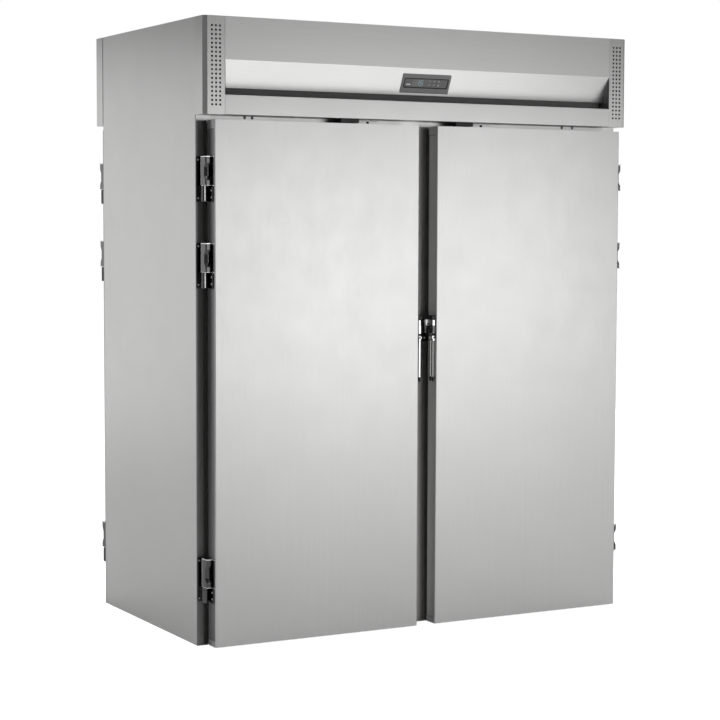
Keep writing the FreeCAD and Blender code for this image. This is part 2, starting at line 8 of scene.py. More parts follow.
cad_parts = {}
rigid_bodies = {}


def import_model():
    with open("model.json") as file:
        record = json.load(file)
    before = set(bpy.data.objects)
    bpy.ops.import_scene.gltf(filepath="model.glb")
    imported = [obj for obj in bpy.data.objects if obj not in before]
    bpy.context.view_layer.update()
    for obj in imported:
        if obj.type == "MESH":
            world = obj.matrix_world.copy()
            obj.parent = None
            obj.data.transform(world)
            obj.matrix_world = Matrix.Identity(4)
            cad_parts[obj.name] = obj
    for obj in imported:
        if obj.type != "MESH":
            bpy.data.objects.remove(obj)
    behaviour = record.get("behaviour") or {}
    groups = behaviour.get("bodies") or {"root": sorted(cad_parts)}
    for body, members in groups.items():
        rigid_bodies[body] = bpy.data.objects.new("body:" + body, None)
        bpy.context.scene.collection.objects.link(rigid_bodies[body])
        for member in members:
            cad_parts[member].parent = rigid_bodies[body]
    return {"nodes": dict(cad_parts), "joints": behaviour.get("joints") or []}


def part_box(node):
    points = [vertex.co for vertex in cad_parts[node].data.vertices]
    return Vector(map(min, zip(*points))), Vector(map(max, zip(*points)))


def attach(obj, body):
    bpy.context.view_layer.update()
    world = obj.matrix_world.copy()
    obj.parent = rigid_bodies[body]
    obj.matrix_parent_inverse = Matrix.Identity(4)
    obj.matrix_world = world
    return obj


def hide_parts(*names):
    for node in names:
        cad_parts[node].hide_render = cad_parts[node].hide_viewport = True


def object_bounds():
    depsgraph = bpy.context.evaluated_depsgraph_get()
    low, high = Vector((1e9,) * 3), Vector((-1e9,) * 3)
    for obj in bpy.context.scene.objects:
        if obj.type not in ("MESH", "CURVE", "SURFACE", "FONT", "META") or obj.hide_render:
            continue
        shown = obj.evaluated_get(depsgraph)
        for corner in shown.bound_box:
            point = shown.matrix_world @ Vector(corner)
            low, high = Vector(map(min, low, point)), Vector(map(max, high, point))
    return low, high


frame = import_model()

CAD_LOW, CAD_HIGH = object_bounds()
NODES = frame["nodes"]
FACES = {"front": -1, "rear": 1}
SIDES = {"left": -1, "right": 1}
FLOOR_Z = CAD_LOW.z

# Camera: its place, heading and pitch around the cabinet, and its lens.
CAMERA_PLACE = (-3.701, -6.788, 1.520)
CAMERA_HEADING = -28.63
CAMERA_PITCH = -4.01
CAMERA_ROLL = 0.17
CAMERA_LENS = 96.8


# --------------------------------------------------------------------- camera
def make_camera():
    """Camera at the viewing angle of the catalogue picture."""
    data = bpy.data.cameras.new("camera")
    data.lens = CAMERA_LENS
    data.sensor_width = 36.0
    camera = bpy.data.objects.new("camera", data)
    bpy.context.scene.collection.objects.link(camera)
    heading = Matrix.Rotation(math.radians(CAMERA_HEADING), 4, "Z")
    pitch = Matrix.Rotation(math.radians(90 + CAMERA_PITCH), 4, "X")
    roll = Matrix.Rotation(math.radians(CAMERA_ROLL), 4, "Z")
    camera.matrix_world = Matrix.Translation(CAMERA_PLACE) @ heading @ pitch @ roll
    bpy.context.scene.camera = camera


make_camera()


# ------------------------------------------------------------------ materials
class Shader:
    """A small wrapper for building one procedural material."""

    def __init__(self, name, base, metallic, roughness, **uniform):
        self.material = bpy.data.materials.new(name)
        self.material.use_nodes = True
        self.tree = self.material.node_tree
        self.surface = self.tree.nodes["Principled BSDF"]
        self.surface.inputs["Base Color"].default_value = (*base, 1.0)
        self.surface.inputs["Metallic"].default_value = metallic
        self.surface.inputs["Roughness"].default_value = roughness
        for socket, value in uniform.items():
            self.surface.inputs[socket.replace("_", " ")].default_value = value
        self.base = base
        self.roughness = roughness
        self.coordinates = self.tree.nodes.new("ShaderNodeTexCoord").outputs["Object"]

    def node(self, kind, **values):
        """New node with its inputs set by name."""
        made = self.tree.nodes.new(kind)
        for socket, value in values.items():
            made.inputs[socket.replace("_", " ")].default_value = value
        return made

    def link(self, output, target):
        self.tree.links.new(output, target)

    def noise(self, scale, stretch=(1.0, 1.0, 1.0), detail=3.0, rough=0.5):
        """Noise value whose cells are stretched along the axes."""
        mapping = self.node("ShaderNodeMapping", Scale=tuple(scale * s for s in stretch))
        self.link(self.coordinates, mapping.inputs["Vector"])
        noise = self.node("ShaderNodeTexNoise", Scale=1.0, Detail=detail, Roughness=rough)
        self.link(mapping.outputs["Vector"], noise.inputs["Vector"])
        return noise.outputs["Fac"]

    def pattern(self, kind, **values):
        """Cells or bricks laid out in the object's own coordinates."""
        made = self.node(kind, **values)
        self.link(self.coordinates, made.inputs["Vector"])
        return made.outputs

    def spread(self, value, low, high, start=0.3, end=0.7):
        """The value, from start to end, turned into low to high."""
        ranged = self.node(
            "ShaderNodeMapRange", From_Min=start, From_Max=end, To_Min=low, To_Max=high
        )
        self.link(value, ranged.inputs["Value"])
        return ranged.outputs["Result"]

    def combine(self, first, second, operation="ADD"):
        maths = self.tree.nodes.new("ShaderNodeMath")
        maths.operation = operation
        self.link(first, maths.inputs[0])
        self.link(second, maths.inputs[1])
        return maths.outputs["Value"]

    def tint(self, value, low, high):
        """Base colour between two shares of the material's own colour."""
        dark = [c * low for c in self.base]
        self.blend(value, dark, [min(c * high, 1.0) for c in self.base], "Base Color")

    def blend(self, value, first, second, socket):
        """Mix of two colours by a value, led to one of the surface's sockets."""
        mix = self.tree.nodes.new("ShaderNodeMix")
        mix.data_type = "RGBA"
        mix.inputs["A"].default_value = (*first, 1.0)
        mix.inputs["B"].default_value = (*second, 1.0)
        self.link(value, mix.inputs["Factor"])
        self.link(mix.outputs["Result"], self.surface.inputs[socket])

    def gloss(self, value):
        self.link(value, self.surface.inputs["Roughness"])

    def roughened(self, value, less, more):
        """Roughness that varies from less below the material's own to more above it."""
        self.gloss(self.spread(value, self.roughness - less, self.roughness + more))

    def bump(self, height, distance, strength=1.0, edge=0.0):
        """Relief in metres, over edges softened by a radius when one is given."""
        bump = self.node("ShaderNodeBump", Strength=strength, Distance=distance)
        self.link(height, bump.inputs["Height"])
        if edge:
            soft = self.node("ShaderNodeBevel", Radius=edge)
            soft.samples = 4
            self.link(soft.outputs["Normal"], bump.inputs["Normal"])
        self.link(bump.outputs["Normal"], self.surface.inputs["Normal"])


def brushed(name, grain, base=(0.64, 0.64, 0.635), roughness=0.34, edge=0.0):
    """Brushed stainless steel with its grain along one axis."""
    shader = Shader(name, base, 1.0, roughness)
    fine = [2600.0, 2600.0, 2600.0]
    fine[grain] = 9.0
    scratch = [700.0, 700.0, 700.0]
    scratch[grain] = 1.6
    hair = shader.noise(1.0, fine, detail=2.0)
    lines = shader.noise(1.0, scratch, detail=4.0, rough=0.7)
    cloud = shader.noise(1.7, detail=2.0)
    smudge = shader.noise(9.0, detail=5.0, rough=0.62)
    both = shader.combine(shader.spread(hair, 0.0, 0.5), shader.spread(lines, 0.0, 0.5))
    shader.tint(shader.combine(both, shader.spread(cloud, -0.15, 0.15)), 0.94, 1.05)
    smear = shader.spread(smudge, roughness - 0.012, roughness + 0.014)
    shader.gloss(shader.combine(smear, shader.spread(lines, -0.02, 0.02)))
    shader.bump(both, 0.000006, edge=edge)
    return shader.material


def chrome(name, base=(0.78, 0.78, 0.78), roughness=0.12):
    """Polished plating with faint ripples and handling marks."""
    shader = Shader(name, base, 1.0, roughness)
    ripple = shader.noise(55.0, detail=2.0)
    marks = shader.noise(240.0, detail=6.0, rough=0.7)
    shader.tint(marks, 0.93, 1.04)
    shader.roughened(marks, 0.03, 0.1)
    shader.bump(ripple, 0.00008, edge=0.0006)
    return shader.material


def plastic(name, base, roughness, grain=1500.0, relief=0.00003, edge=0.0008, sheen=0.45):
    """Moulded plastic with a fine spark-eroded grain."""
    shader = Shader(name, base, 0.0, roughness, Specular_IOR_Level=sheen)
    skin = shader.noise(grain, detail=3.0)
    cloud = shader.noise(14.0, detail=4.0)
    shader.tint(cloud, 0.85, 1.15)
    shader.roughened(cloud, 0.06, 0.08)
    shader.bump(skin, relief, edge=edge)
    return shader.material


def rubber(name):
    """Soft extruded seal with patchy dust."""
    shader = Shader(name, (0.045, 0.045, 0.047), 0.0, 0.72, Sheen_Weight=0.15)
    dust = shader.noise(60.0, detail=6.0, rough=0.65)
    skin = shader.noise(900.0, detail=3.0)
    shader.tint(dust, 0.8, 1.5)
    shader.gloss(shader.spread(dust, 0.62, 0.82))
    shader.bump(skin, 0.00005)
    return shader.material


def foam(name):
    """Cut polyurethane foam with open cells."""
    shader = Shader(name, (0.78, 0.68, 0.42), 0.0, 0.9)
    cells = shader.pattern("ShaderNodeTexVoronoi", Scale=700.0)
    cloud = shader.noise(20.0, detail=4.0)
    shader.tint(cloud, 0.85, 1.1)
    shader.bump(cells["Distance"], 0.0004)
    return shader.material


def galvanised(name):
    """Zinc-coated sheet with its spangle."""
    shader = Shader(name, (0.55, 0.57, 0.59), 1.0, 0.42)
    spangle = shader.pattern("ShaderNodeTexVoronoi", Scale=90.0)
    bright = shader.tree.nodes.new("ShaderNodeSeparateColor")
    shader.link(spangle["Color"], bright.inputs["Color"])
    shader.tint(bright.outputs["Red"], 0.82, 1.12)
    shader.gloss(shader.spread(bright.outputs["Green"], 0.34, 0.5, 0.0, 1.0))
    shader.bump(bright.outputs["Blue"], 0.00002, edge=0.001)
    return shader.material


def circuit_board(name):
    """Green solder mask with copper tracks beneath it."""
    shader = Shader(name, (0.02, 0.16, 0.07), 0.0, 0.35)
    tracks = shader.pattern("ShaderNodeTexBrick", Scale=160.0, Mortar_Size=0.06)
    shader.tint(tracks["Fac"], 1.0, 2.2)
    shader.bump(tracks["Fac"], 0.00006)
    return shader.material


def glowing(name, colour, strength, base=(0.1, 0.1, 0.1)):
    """Lit mark behind the touch window, a little uneven across its length."""
    shader = Shader(name, base, 0.0, 0.3, Emission_Strength=strength)
    uneven = shader.noise(300.0, detail=2.0)
    shader.blend(uneven, [c * 0.8 for c in colour], colour, "Emission Color")
    return shader.material


def lens(name):
    """Frosted lamp cover."""
    frost = {"Subsurface_Weight": 0.2, "Specular_IOR_Level": 0.5}
    shader = Shader(name, (0.86, 0.86, 0.82), 0.0, 0.3, **frost)
    prisms = shader.noise(420.0, detail=2.0)
    shader.tint(prisms, 0.92, 1.05)
    shader.bump(prisms, 0.0002)
    return shader.material


STEEL_UP = brushed("steel_vertical_grain", 2)
STEEL_ACROSS = brushed("steel_cross_grain", 0)
STEEL_CAP = brushed("steel_cap_grain", 2, base=(0.60, 0.60, 0.595), roughness=0.3)
STEEL_CAD = brushed("steel_frame_grain", 2, roughness=0.36, edge=0.0012)
STEEL_INSIDE = brushed("steel_liner_grain", 2, base=(0.58, 0.58, 0.575), roughness=0.4, edge=0.001)
STEEL_DARK = brushed("steel_heater_tube", 2, base=(0.34, 0.31, 0.28), roughness=0.5)
CHROME = chrome("chrome_plate")
# Jamb steel: the brushed steel darkened as painted shade, for the shade and dark reflections beside
# the door edge.
STEEL_JAMB_PAINTED_SHADE = brushed("steel_jamb_grain", 2, base=(0.29, 0.29, 0.292), roughness=0.3)
# Hinge-side door edge: the brushed steel darkened as painted shade, for the dark crevice at the
# hinges.
STEEL_EDGE_PAINTED_SHADE = brushed("steel_edge_grain", 2, base=(0.34, 0.34, 0.34), roughness=0.32)
# Hinge plates and covers: the chrome darkened to near black as painted shade, for the dark
# reflections in the hinge crevice.
HINGE_CHROME_PAINTED_SHADE = chrome("hinge_plate", base=(0.12, 0.12, 0.123), roughness=0.15)
# Hinge knuckles: the chrome darkened as painted shade, so that only the lamp's glint line reads
# bright.
KNUCKLE_PAINTED_SHADE = chrome("knuckle_chrome", base=(0.14, 0.14, 0.143), roughness=0.07)
# Latch ear: a real satin casting, made paler than the other brushed metals as a painted highlight.
SATIN_PAINTED_HIGHLIGHT = brushed("satin_casting", 1, base=(0.86, 0.86, 0.86), roughness=0.38, edge=0.0008)
CAST = brushed("cast_aluminium", 1, base=(0.56, 0.56, 0.57), roughness=0.45, edge=0.001)
SCREW = chrome("screw_steel", base=(0.55, 0.55, 0.55), roughness=0.25)
SCREW_DARK = chrome("screw_oxide", base=(0.2, 0.2, 0.2), roughness=0.3)
BLACK = plastic("black_moulding", (0.018, 0.018, 0.019), 0.42)
BREAKER = plastic("breaker_extrusion", (0.05, 0.05, 0.052), 0.38, grain=900.0)
BUMPER = plastic("bumper_polymer", (0.62, 0.62, 0.6), 0.5)
SURROUND = plastic("control_surround", (0.27, 0.27, 0.272), 0.4, grain=2200.0)
WINDOW = plastic("touch_window", (0.20, 0.20, 0.203), 0.16, grain=40.0, relief=0.000004)
SEAL = rubber("seal_rubber")
FOAM = foam("insulation_foam")
ZINC = galvanised("zinc_sheet")
BOARD = circuit_board("controller_board")
LENS = lens("lamp_lens")
# Slot filter: dark grey, partly its own colour and partly painted shade for the shade inside the
# slot.
FILTER_PAINTED_SHADE = plastic("slot_filter", (0.21, 0.21, 0.212), 0.6, grain=500.0)
# Vent screen: near black, partly painted shade of the cavity behind the vent holes.
SCREEN_PAINTED_SHADE = plastic("vent_screen", (0.006, 0.006, 0.006), 0.85, sheen=0.05)
DIGIT = glowing("lit_digit", (0.42, 0.68, 0.82), 0.75)
# Unlit segments: given a faint emission, painted light for the light they reflect; they are not
# lamps.
GHOST_PAINTED_GLOW = glowing("unlit_digit", (0.20, 0.19, 0.165), 1.2, base=(0.05, 0.05, 0.045))
MARK = glowing("touch_mark", (0.6, 0.62, 0.64), 0.85)


# ------------------------------------------------------------------- geometry
class Form:
    """Points and faces that grow as parts are added, then become one mesh piece."""

    def __init__(self):
        self.points = []
        self.faces = []

    def add(self, points, faces):
        first = len(self.points)
        self.points += [tuple(point) for point in points]
        self.faces += [tuple(first + index for index in face) for face in faces]
        return self

    def add_mesh(self, mesh):
        """Take over a bmesh and free it."""
        mesh.verts.ensure_lookup_table()
        mesh.verts.index_update()
        self.add(
            [vert.co[:] for vert in mesh.verts],
            [[vert.index for vert in face.verts] for face in mesh.faces],
        )
        mesh.free()
        return self

    def block(self, low, high, radius=0.001, segments=2):
        """Box with rounded edges."""
        low, high = Vector(low), Vector(high)
        mesh = bmesh.new()
        bmesh.ops.create_cube(mesh, size=1.0)
        size = high - low
        for vert in mesh.verts:
            vert.co = (low + high) / 2 + Vector(a * b for a, b in zip(vert.co, size))
        if radius:
            bmesh.ops.bevel(
                mesh, geom=mesh.edges[:], offset=min(radius, min(size) * 0.45),
                segments=segments, affect="EDGES", profile=0.5,
            )
        return self.add_mesh(mesh)

    def strip(self, outer, inner, axis, start, end):
        """Sheet between two matching open lines, pushed along an axis."""
        count = len(outer)
        rows = [lift(line, axis, at) for line in (outer, inner) for at in (start, end)]
        points = [point for row in rows for point in row]
        a, b, c, d = 0, count, 2 * count, 3 * count
        faces = []
        for i in range(count - 1):
            faces.append((a + i, a + i + 1, b + i + 1, b + i))
            faces.append((c + i, d + i, d + i + 1, c + i + 1))
            faces.append((a + i, c + i, c + i + 1, a + i + 1))
            faces.append((b + i, b + i + 1, d + i + 1, d + i))
        faces.append((a, b, d, c))
        last = count - 1
        faces.append((a + last, c + last, d + last, b + last))
        return self.add(points, faces)

    def sheet(self, line, thickness, radius, axis, start, end):
        """Bent sheet whose outside follows a line with rounded bends, thickened to its left."""
        outer = rounded(line, radius)
        return self.strip(outer, offset(outer, thickness), axis, start, end)

    def prism(self, outline, axis, start, end):
        """Closed outline pushed along an axis."""
        count = len(outline)
        points = lift(outline, axis, start) + lift(outline, axis, end)
        sides, caps = bands(2, count), closed(2, count)[-2:]
        return self.add(points, caps + sides)

    def lathe(self, profile, centre, direction, segments=24):
        """Closed turned shape: the profile is (distance along the axis, radius)."""
        axis = Vector(direction).normalized()
        side = axis.orthogonal().normalized()
        other = axis.cross(side)
        points = []
        for along, radius in profile:
            for k in range(segments):
                angle = 2 * math.pi * k / segments
                spoke = side * math.cos(angle) + other * math.sin(angle)
                points.append(Vector(centre) + axis * along + spoke * radius)
        return self.add(points, closed(len(profile), segments))

    def screw(self, centre, direction, radius=0.0045):
        """Button-head screw with a round socket."""
        height = radius * 0.55
        profile = [(-0.001, radius)]
        for step in range(5):
            angle = math.pi / 2 * step / 5
            wide = radius * (0.45 + 0.55 * math.cos(angle))
            profile.append((height * math.sin(angle), wide))
        profile += [(height, radius * 0.42), (height * 0.25, radius * 0.38)]
        profile += [(height * 0.2, radius * 0.02)]
        return self.lathe(profile, centre, direction, 16)

    def mirrored(self, side, face):
        """A front left form moved to another corner of the cabinet."""
        copy = Form()
        copy.points = [(-side * x, -face * y, z) for x, y, z in self.points]
        copy.faces = [f[::-1] for f in self.faces] if side * face < 0 else list(self.faces)
        return copy

    def join(self, other):
        return self.add(other.points, other.faces)

    def both_sides(self):
        """The form with its mirror image across the middle plane."""
        return self.join(self.mirrored(1, -1))

    def at_corners(self):
        """The form at all four corners of the cabinet."""
        whole = Form()
        for side in SIDES.values():
            for face in FACES.values():
                whole.join(self.mirrored(side, face))
        return whole

    def boxes(self, radius, segments, *pairs):
        """Several boxes with the same rounded edges, each a low and a high corner."""
        for low, high in pairs:
            self.block(low, high, radius, segments)
        return self


def bands(rings, count):
    """Quads between neighbouring rings of equally many points."""
    faces = []
    for ring in range(rings - 1):
        for i in range(count):
            a, b = ring * count + i, ring * count + (i + 1) % count
            faces.append((a, b, b + count, a + count))
    return faces


def closed(rings, count):
    """Bands between rings, with a cap on the first and the last."""
    last = (rings - 1) * count
    return [*bands(rings, count), tuple(range(count))[::-1], tuple(range(last, last + count))]


def lift(line, axis, at):
    """2-D points placed in space at a distance along the axis they don't have."""
    if axis == "x":
        return [(at, a, b) for a, b in line]
    if axis == "y":
        return [(a, at, b) for a, b in line]
    return [(a, b, at) for a, b in line]


def rounded(line, radius, steps=5):
    """Open line with an arc at each inner point."""
    points = [Vector(point) for point in line]
    made = [points[0]]
    for before, corner, after in zip(points, points[1:], points[2:]):
        back = (before - corner).normalized()
        ahead = (after - corner).normalized()
        turn = math.acos(max(-1.0, min(1.0, back.dot(ahead))))
        if radius <= 0 or turn > math.pi - 1e-4:
            made.append(corner)
            continue
        reach = radius / math.tan(turn / 2)
        centre = corner + (back + ahead).normalized() * (radius / math.sin(turn / 2))
        first = corner + back * reach - centre
        last = corner + ahead * reach - centre
        sweep = math.atan2(first.x * last.y - first.y * last.x, first.dot(last))
        for step in range(steps + 1):
            angle = sweep * step / steps
            spoke = Vector((
                first.x * math.cos(angle) - first.y * math.sin(angle),
                first.x * math.sin(angle) + first.y * math.cos(angle),
            ))
            made.append(centre + spoke)
    made.append(points[-1])
    return [tuple(point) for point in made]


def offset(line, distance):
    """Open line moved to its left."""
    moved = []
    for i, point in enumerate(line):
        here = Vector(point)
        before = Vector(line[max(i - 1, 0)])
        after = Vector(line[min(i + 1, len(line) - 1)])
        left_before = (here - before).normalized() if i else (after - here).normalized()
        left_after = (after - here).normalized() if i < len(line) - 1 else left_before
        n0 = Vector((-left_before.y, left_before.x))
        n1 = Vector((-left_after.y, left_after.x))
        moved.append(tuple(here + (n0 + n1) * (distance / (1 + n0.dot(n1)))))
    return moved


def rounded_outline(outline, radius, steps=4):
    """Closed outline with an arc at every corner."""
    middle = tuple((a + b) / 2 for a, b in zip(outline[-1], outline[0]))
    return rounded([middle, *outline, middle], radius, steps)[:-1]


def piece(name, form, material, body, replaces=(), smooth=35.0):
    """Mesh piece from a form, riding on a body."""
    mesh = bpy.data.meshes.new(name)
    mesh.from_pydata(form.points, [], form.faces)
    work = bmesh.new()
    work.from_mesh(mesh)
    bmesh.ops.recalc_face_normals(work, faces=work.faces)
    work.to_mesh(mesh)
    work.free()
    mesh.materials.append(material)
    mesh.shade_smooth()
    mesh.set_sharp_from_angle(angle=math.radians(smooth))
    made = bpy.data.objects.new(name, mesh)
    bpy.context.scene.collection.objects.link(made)
    flat = made.modifiers.new("flat_faces", "WEIGHTED_NORMAL")
    flat.keep_sharp = True
    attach(made, body)
    if replaces:
        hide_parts(*replaces)
    return made


def dress(node, material):
    """Give a carried-over CAD node its finished material."""
    mesh = NODES[node].data
    mesh.materials.clear()
    mesh.materials.append(material)


# ---------------------------------------------------------------- front left
# Pieces that repeat at the corners are drawn once, at the front left, and mirrored.
BODY_LOW, BODY_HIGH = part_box("side_panel_left")
SKIN_LOW, SKIN_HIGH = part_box("front_left_door_skin")
LINER_LOW, LINER_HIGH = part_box("front_left_door_liner")
SEAL_LOW, SEAL_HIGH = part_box("front_left_door_seals")
LEVER_LOW, LEVER_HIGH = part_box("front_left_door_latch_lever")
CASE_LOW, CASE_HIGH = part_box("front_left_door_latch_housing")
PANEL_LOW, PANEL_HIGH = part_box("front_fascia_panel")
LIP_LOW, LIP_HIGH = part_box("front_fascia_lip")
ENDS_LOW, ENDS_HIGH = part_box("front_fascia_ends")
# Plate thickness, and how far the side shell's face lies inside the CAD panel's.
SHEET, PROUD = 0.0015, 0.0012
# Top and foot of the latch band, measured down from the top of its case.
BAND_TOP, BAND_FOOT = 0.0160, 0.0385
# Where the steel jamb ends and the breaker strip begins, and where the strip ends.
JAMB_X, OPENING_X = -0.8775, -0.867
# How far the jamb and the breaker strip stand in front of the wall.
STRIP_RISE = 0.003
# Upper fold of the fascia, lower edge of its slope, and how far the slope goes in.
FOLD_Z, SLOPE_Z, SLOPE_DEPTH = 2.098, 2.001, 0.046
# Chamfer on the corners of the fascia ends and the roof, and the bend of a door pan.
CAP_CHAMFER, DOOR_BEND = 0.013, 0.0035


def joint(name):
    return next(entry for entry in frame["joints"] if entry["name"] == name)


def door_pan():
    """Folded outer pan with soft edges, end plates, return flanges and end caps."""
    form = Form()
    low, high = SKIN_LOW, SKIN_HIGH
    inset = 0.0006
    left, right = low.x + inset, high.x - inset
    flange = 0.012
    plan = [
        (left + flange, high.y), (left, high.y), (left, low.y),
        (right, low.y), (right, high.y), (right - flange, high.y),
    ]
    form.sheet(plan, SHEET, DOOR_BEND, "z", low.z + SHEET, high.z - SHEET)
    plate = [(left, low.y), (right, low.y), (right, high.y), (left, high.y)]
    plate = rounded_outline(plate, DOOR_BEND)
    form.prism(plate, "z", low.z, low.z + SHEET)
    form.prism(plate, "z", high.z - SHEET, high.z)
    for z in (low.z + 0.0005, high.z - flange - 0.0005):
        flange_low = (left + 0.0005, high.y - SHEET, z)
        form.block(flange_low, (right - 0.0005, high.y, z + flange), 0.0004, 1)
    for x in (low.x, high.x - 0.0012):
        form.boxes(
            0.0003, 1,
            ((x, low.y + 0.006, high.z - 0.032), (x + 0.0012, high.y, high.z)),
            ((x, low.y + 0.006, low.z), (x + 0.0012, high.y, low.z + 0.022)),
        )
    return form


def door_seams():
    """Dark joint lines where the end caps meet the pan."""
    low, high = SKIN_LOW, SKIN_HIGH
    form = Form()
    for x in (low.x + 0.0002, high.x - 0.0010):
        for z in (high.z - 0.0335, low.z + 0.0220):
            seam_high = (x + 0.0008, high.y - 0.0005, z + 0.0015)
            form.block((x, low.y + 0.006, z), seam_high, 0.0002, 1)
    return form


def door_edge():
    """Brushed edge of the door on its hinge side, between the two end caps, in a darkened steel:
    painted shade of the gap at the hinges.
    """
    low, high = SKIN_LOW, SKIN_HIGH
    return Form().block(
        (low.x + 0.0002, low.y + 0.0045, low.z + 0.0240),
        (low.x + 0.0010, high.y - 0.0010, high.z - 0.0340), 0.0002, 1,
    )


def door_lining():
    """Inner pan with a pressed field and rounded edges."""
    low, high = LINER_LOW, LINER_HIGH
    form = Form().block(low, (high.x, high.y - 0.0009, high.z), 0.002, 2)
    border = 0.055
    field_low = (low.x + border, high.y - 0.0030, low.z + border)
    field_high = (high.x - border, high.y, high.z - border)
    return form.block(field_low, field_high, 0.0008, 2)


def seal_profile(width, depth):
    """Half-bellows section: dart, two folds and the magnet bead, as (across, out) pairs."""
    return [
        (0.0, 0.0), (width * 0.15, depth * 0.10), (width * 0.02, depth * 0.30),
        (width * 0.18, depth * 0.46), (width * 0.0, depth * 0.66), (width * 0.0, depth * 0.94),
        (width * 0.06, depth), (width * 0.94, depth), (width, depth * 0.94), (width, depth * 0.66),
        (width * 0.82, depth * 0.46), (width * 0.98, depth * 0.30), (width * 0.85, depth * 0.10),
        (width, 0.0),
    ]


def door_gasket():
    """Bellows gasket mitred round three sides of the liner."""
    low, high = LINER_LOW, LINER_HIGH
    width = 0.014
    depth = SEAL_HIGH.y - LINER_HIGH.y
    section = seal_profile(width, depth)
    corners = [
        lambda a: (low.x + a, low.z), lambda a: (low.x + a, high.z - a),
        lambda a: (high.x - a, high.z - a), lambda a: (high.x - a, low.z),
    ]
    points = []
    for corner in corners:
        for across, out in section:
            x, z = corner(across)
            points.append((x, LINER_HIGH.y + out, z))
    return Form().add(points, closed(len(corners), len(section)))


def door_sweep():
    """Floor sweep: a clamping strip with two thin rubber fins under it."""
    low, high = SEAL_LOW, SEAL_HIGH
    left, right = low.x + 0.016, high.x - 0.016
    face = LINER_HIGH.y
    form = Form().block((left, face, 0.020), (right, face + 0.004, 0.042), 0.001, 2)
    form.block((left, face, low.z), (right, face + 0.0014, 0.022), 0.0005, 1)
    return form.block((left, face + 0.0026, low.z), (right, face + 0.0040, 0.022), 0.0005, 1)


def hinge_levels():
    """Lowest point of each of the three hinges, from the node's solids."""
    straps = NODES["front_left_door_hinge_straps"].data.vertices
    heights = sorted({round(vert.co.z, 4) for vert in straps})
    levels = [heights[0]]
    for height in heights:
        if height - levels[-1] > 0.18:
            levels.append(height)
    return levels[:3]


HINGE = joint("front_left_door_hinge")["pos_m"]
HINGE_LEVELS = hinge_levels()
HINGE_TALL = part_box("front_left_door_hinge_straps")[1].z - HINGE_LEVELS[-1]
HINGE_SPLIT = 0.056


def hinge_cover(form, level):
    """Bevelled cover over the door knuckle: full width at its ends, a narrow waist between."""
    low = level + HINGE_SPLIT + 0.002
    high = level + HINGE_TALL - 0.0035
    back = HINGE[1] + 0.014
    front = HINGE[1] - 0.027
    left = HINGE[0] - 0.007
    right = SKIN_LOW.x - 0.0028
    stations = [
        (low, 0.0), (low + 0.018, 0.0), (low + 0.033, 1.0),
        (high - 0.036, 1.0), (high - 0.020, 0.0), (high, 0.0),
    ]
    mesh = bmesh.new()
    rings = []
    for z, waist in stations:
        edge = front + 0.005 * waist
        left_chamfer = 0.0035 + 0.0060 * waist
        right_chamfer = 0.0035 + 0.0045 * waist
        outline = [
            (left, back), (left, edge + left_chamfer), (left + left_chamfer, edge),
            (right - right_chamfer, edge), (right, edge + right_chamfer), (right, back),
        ]
        rings.append([mesh.verts.new((x, y, z)) for x, y in outline])
    count = len(rings[0])
    for lower, upper in zip(rings, rings[1:]):
        for i in range(count):
            j = (i + 1) % count
            mesh.faces.new((lower[i], lower[j], upper[j], upper[i]))
    mesh.faces.new(rings[0][::-1])
    mesh.faces.new(rings[-1])
    bmesh.ops.recalc_face_normals(mesh, faces=mesh.faces)
    bmesh.ops.bevel(
        mesh, geom=mesh.edges[:], offset=0.0008, segments=2, affect="EDGES", profile=0.5,
        clamp_overlap=True,
    )
    form.add_mesh(mesh)


def hinge_straps():
    """Door halves of the three hinges: leaf and bevelled cover."""
    form = Form()
    for level in HINGE_LEVELS:
        top = level + HINGE_TALL
        split = level + HINGE_SPLIT + 0.001
        left, back = SKIN_LOW.x - 0.003, SKIN_HIGH.y - 0.002
        form.boxes(
            0.0008, 2,
            ((left, SKIN_LOW.y + 0.004, split), (SKIN_LOW.x, back, top)),
            ((left, SKIN_LOW.y + 0.010, level), (SKIN_LOW.x, back, split)),
        )
        hinge_cover(form, level)
    return form


def hinge_lips():
    """Polished rims at the top, foot and back edge of the hinge covers."""
    form = Form()
    left = HINGE[0] - 0.0075
    front = HINGE[1] - 0.0280
    back = HINGE[1] + 0.0145
    for level in HINGE_LEVELS:
        top = level + HINGE_TALL
        split = level + HINGE_SPLIT
        form.block((left, front - 0.0015, top - 0.0036), (SKIN_LOW.x, back, top), 0.0007, 2)
        foot = (left + 0.0005, front, split + 0.0006), (SKIN_LOW.x - 0.0030, back, split + 0.0026)
        rear = (left, back - 0.0026, split + 0.002), (left + 0.0016, back, top - 0.003)
        form.boxes(0.0006, 2, foot, rear)
        for z in (top - 0.0036, split - 0.0005):
            form.block(
                (SKIN_LOW.x - 0.0036, SKIN_LOW.y + 0.003, z),
                (SKIN_LOW.x - 0.0002, SKIN_HIGH.y - 0.002, z + 0.0030), 0.0006, 2,
            )
    return form


def hinge_screws():
    """Screws through the hinge leaves into the door edge."""
    form = Form()
    for level in HINGE_LEVELS:
        for z in (level + 0.016, level + 0.040):
            form.screw((SKIN_LOW.x - 0.003, SKIN_LOW.y + 0.020, z), (-1, 0, 0), 0.0042)
    return form


def hinge_plates():
    """Fixed halves of the hinges: wall plate and web."""
    form = Form()
    wall = BODY_LOW.y - 0.003
    for level in HINGE_LEVELS:
        plate_low = (HINGE[0] - 0.015, wall - 0.004, level)
        form.block(plate_low, (HINGE[0] + 0.015, wall, level + HINGE_TALL), 0.0012, 2)
        form.block(
            (HINGE[0] - 0.005, HINGE[1], level + 0.001),
            (HINGE[0] + 0.005, wall - 0.003, level + HINGE_SPLIT - 0.001), 0.0015, 2,
        )
    return form


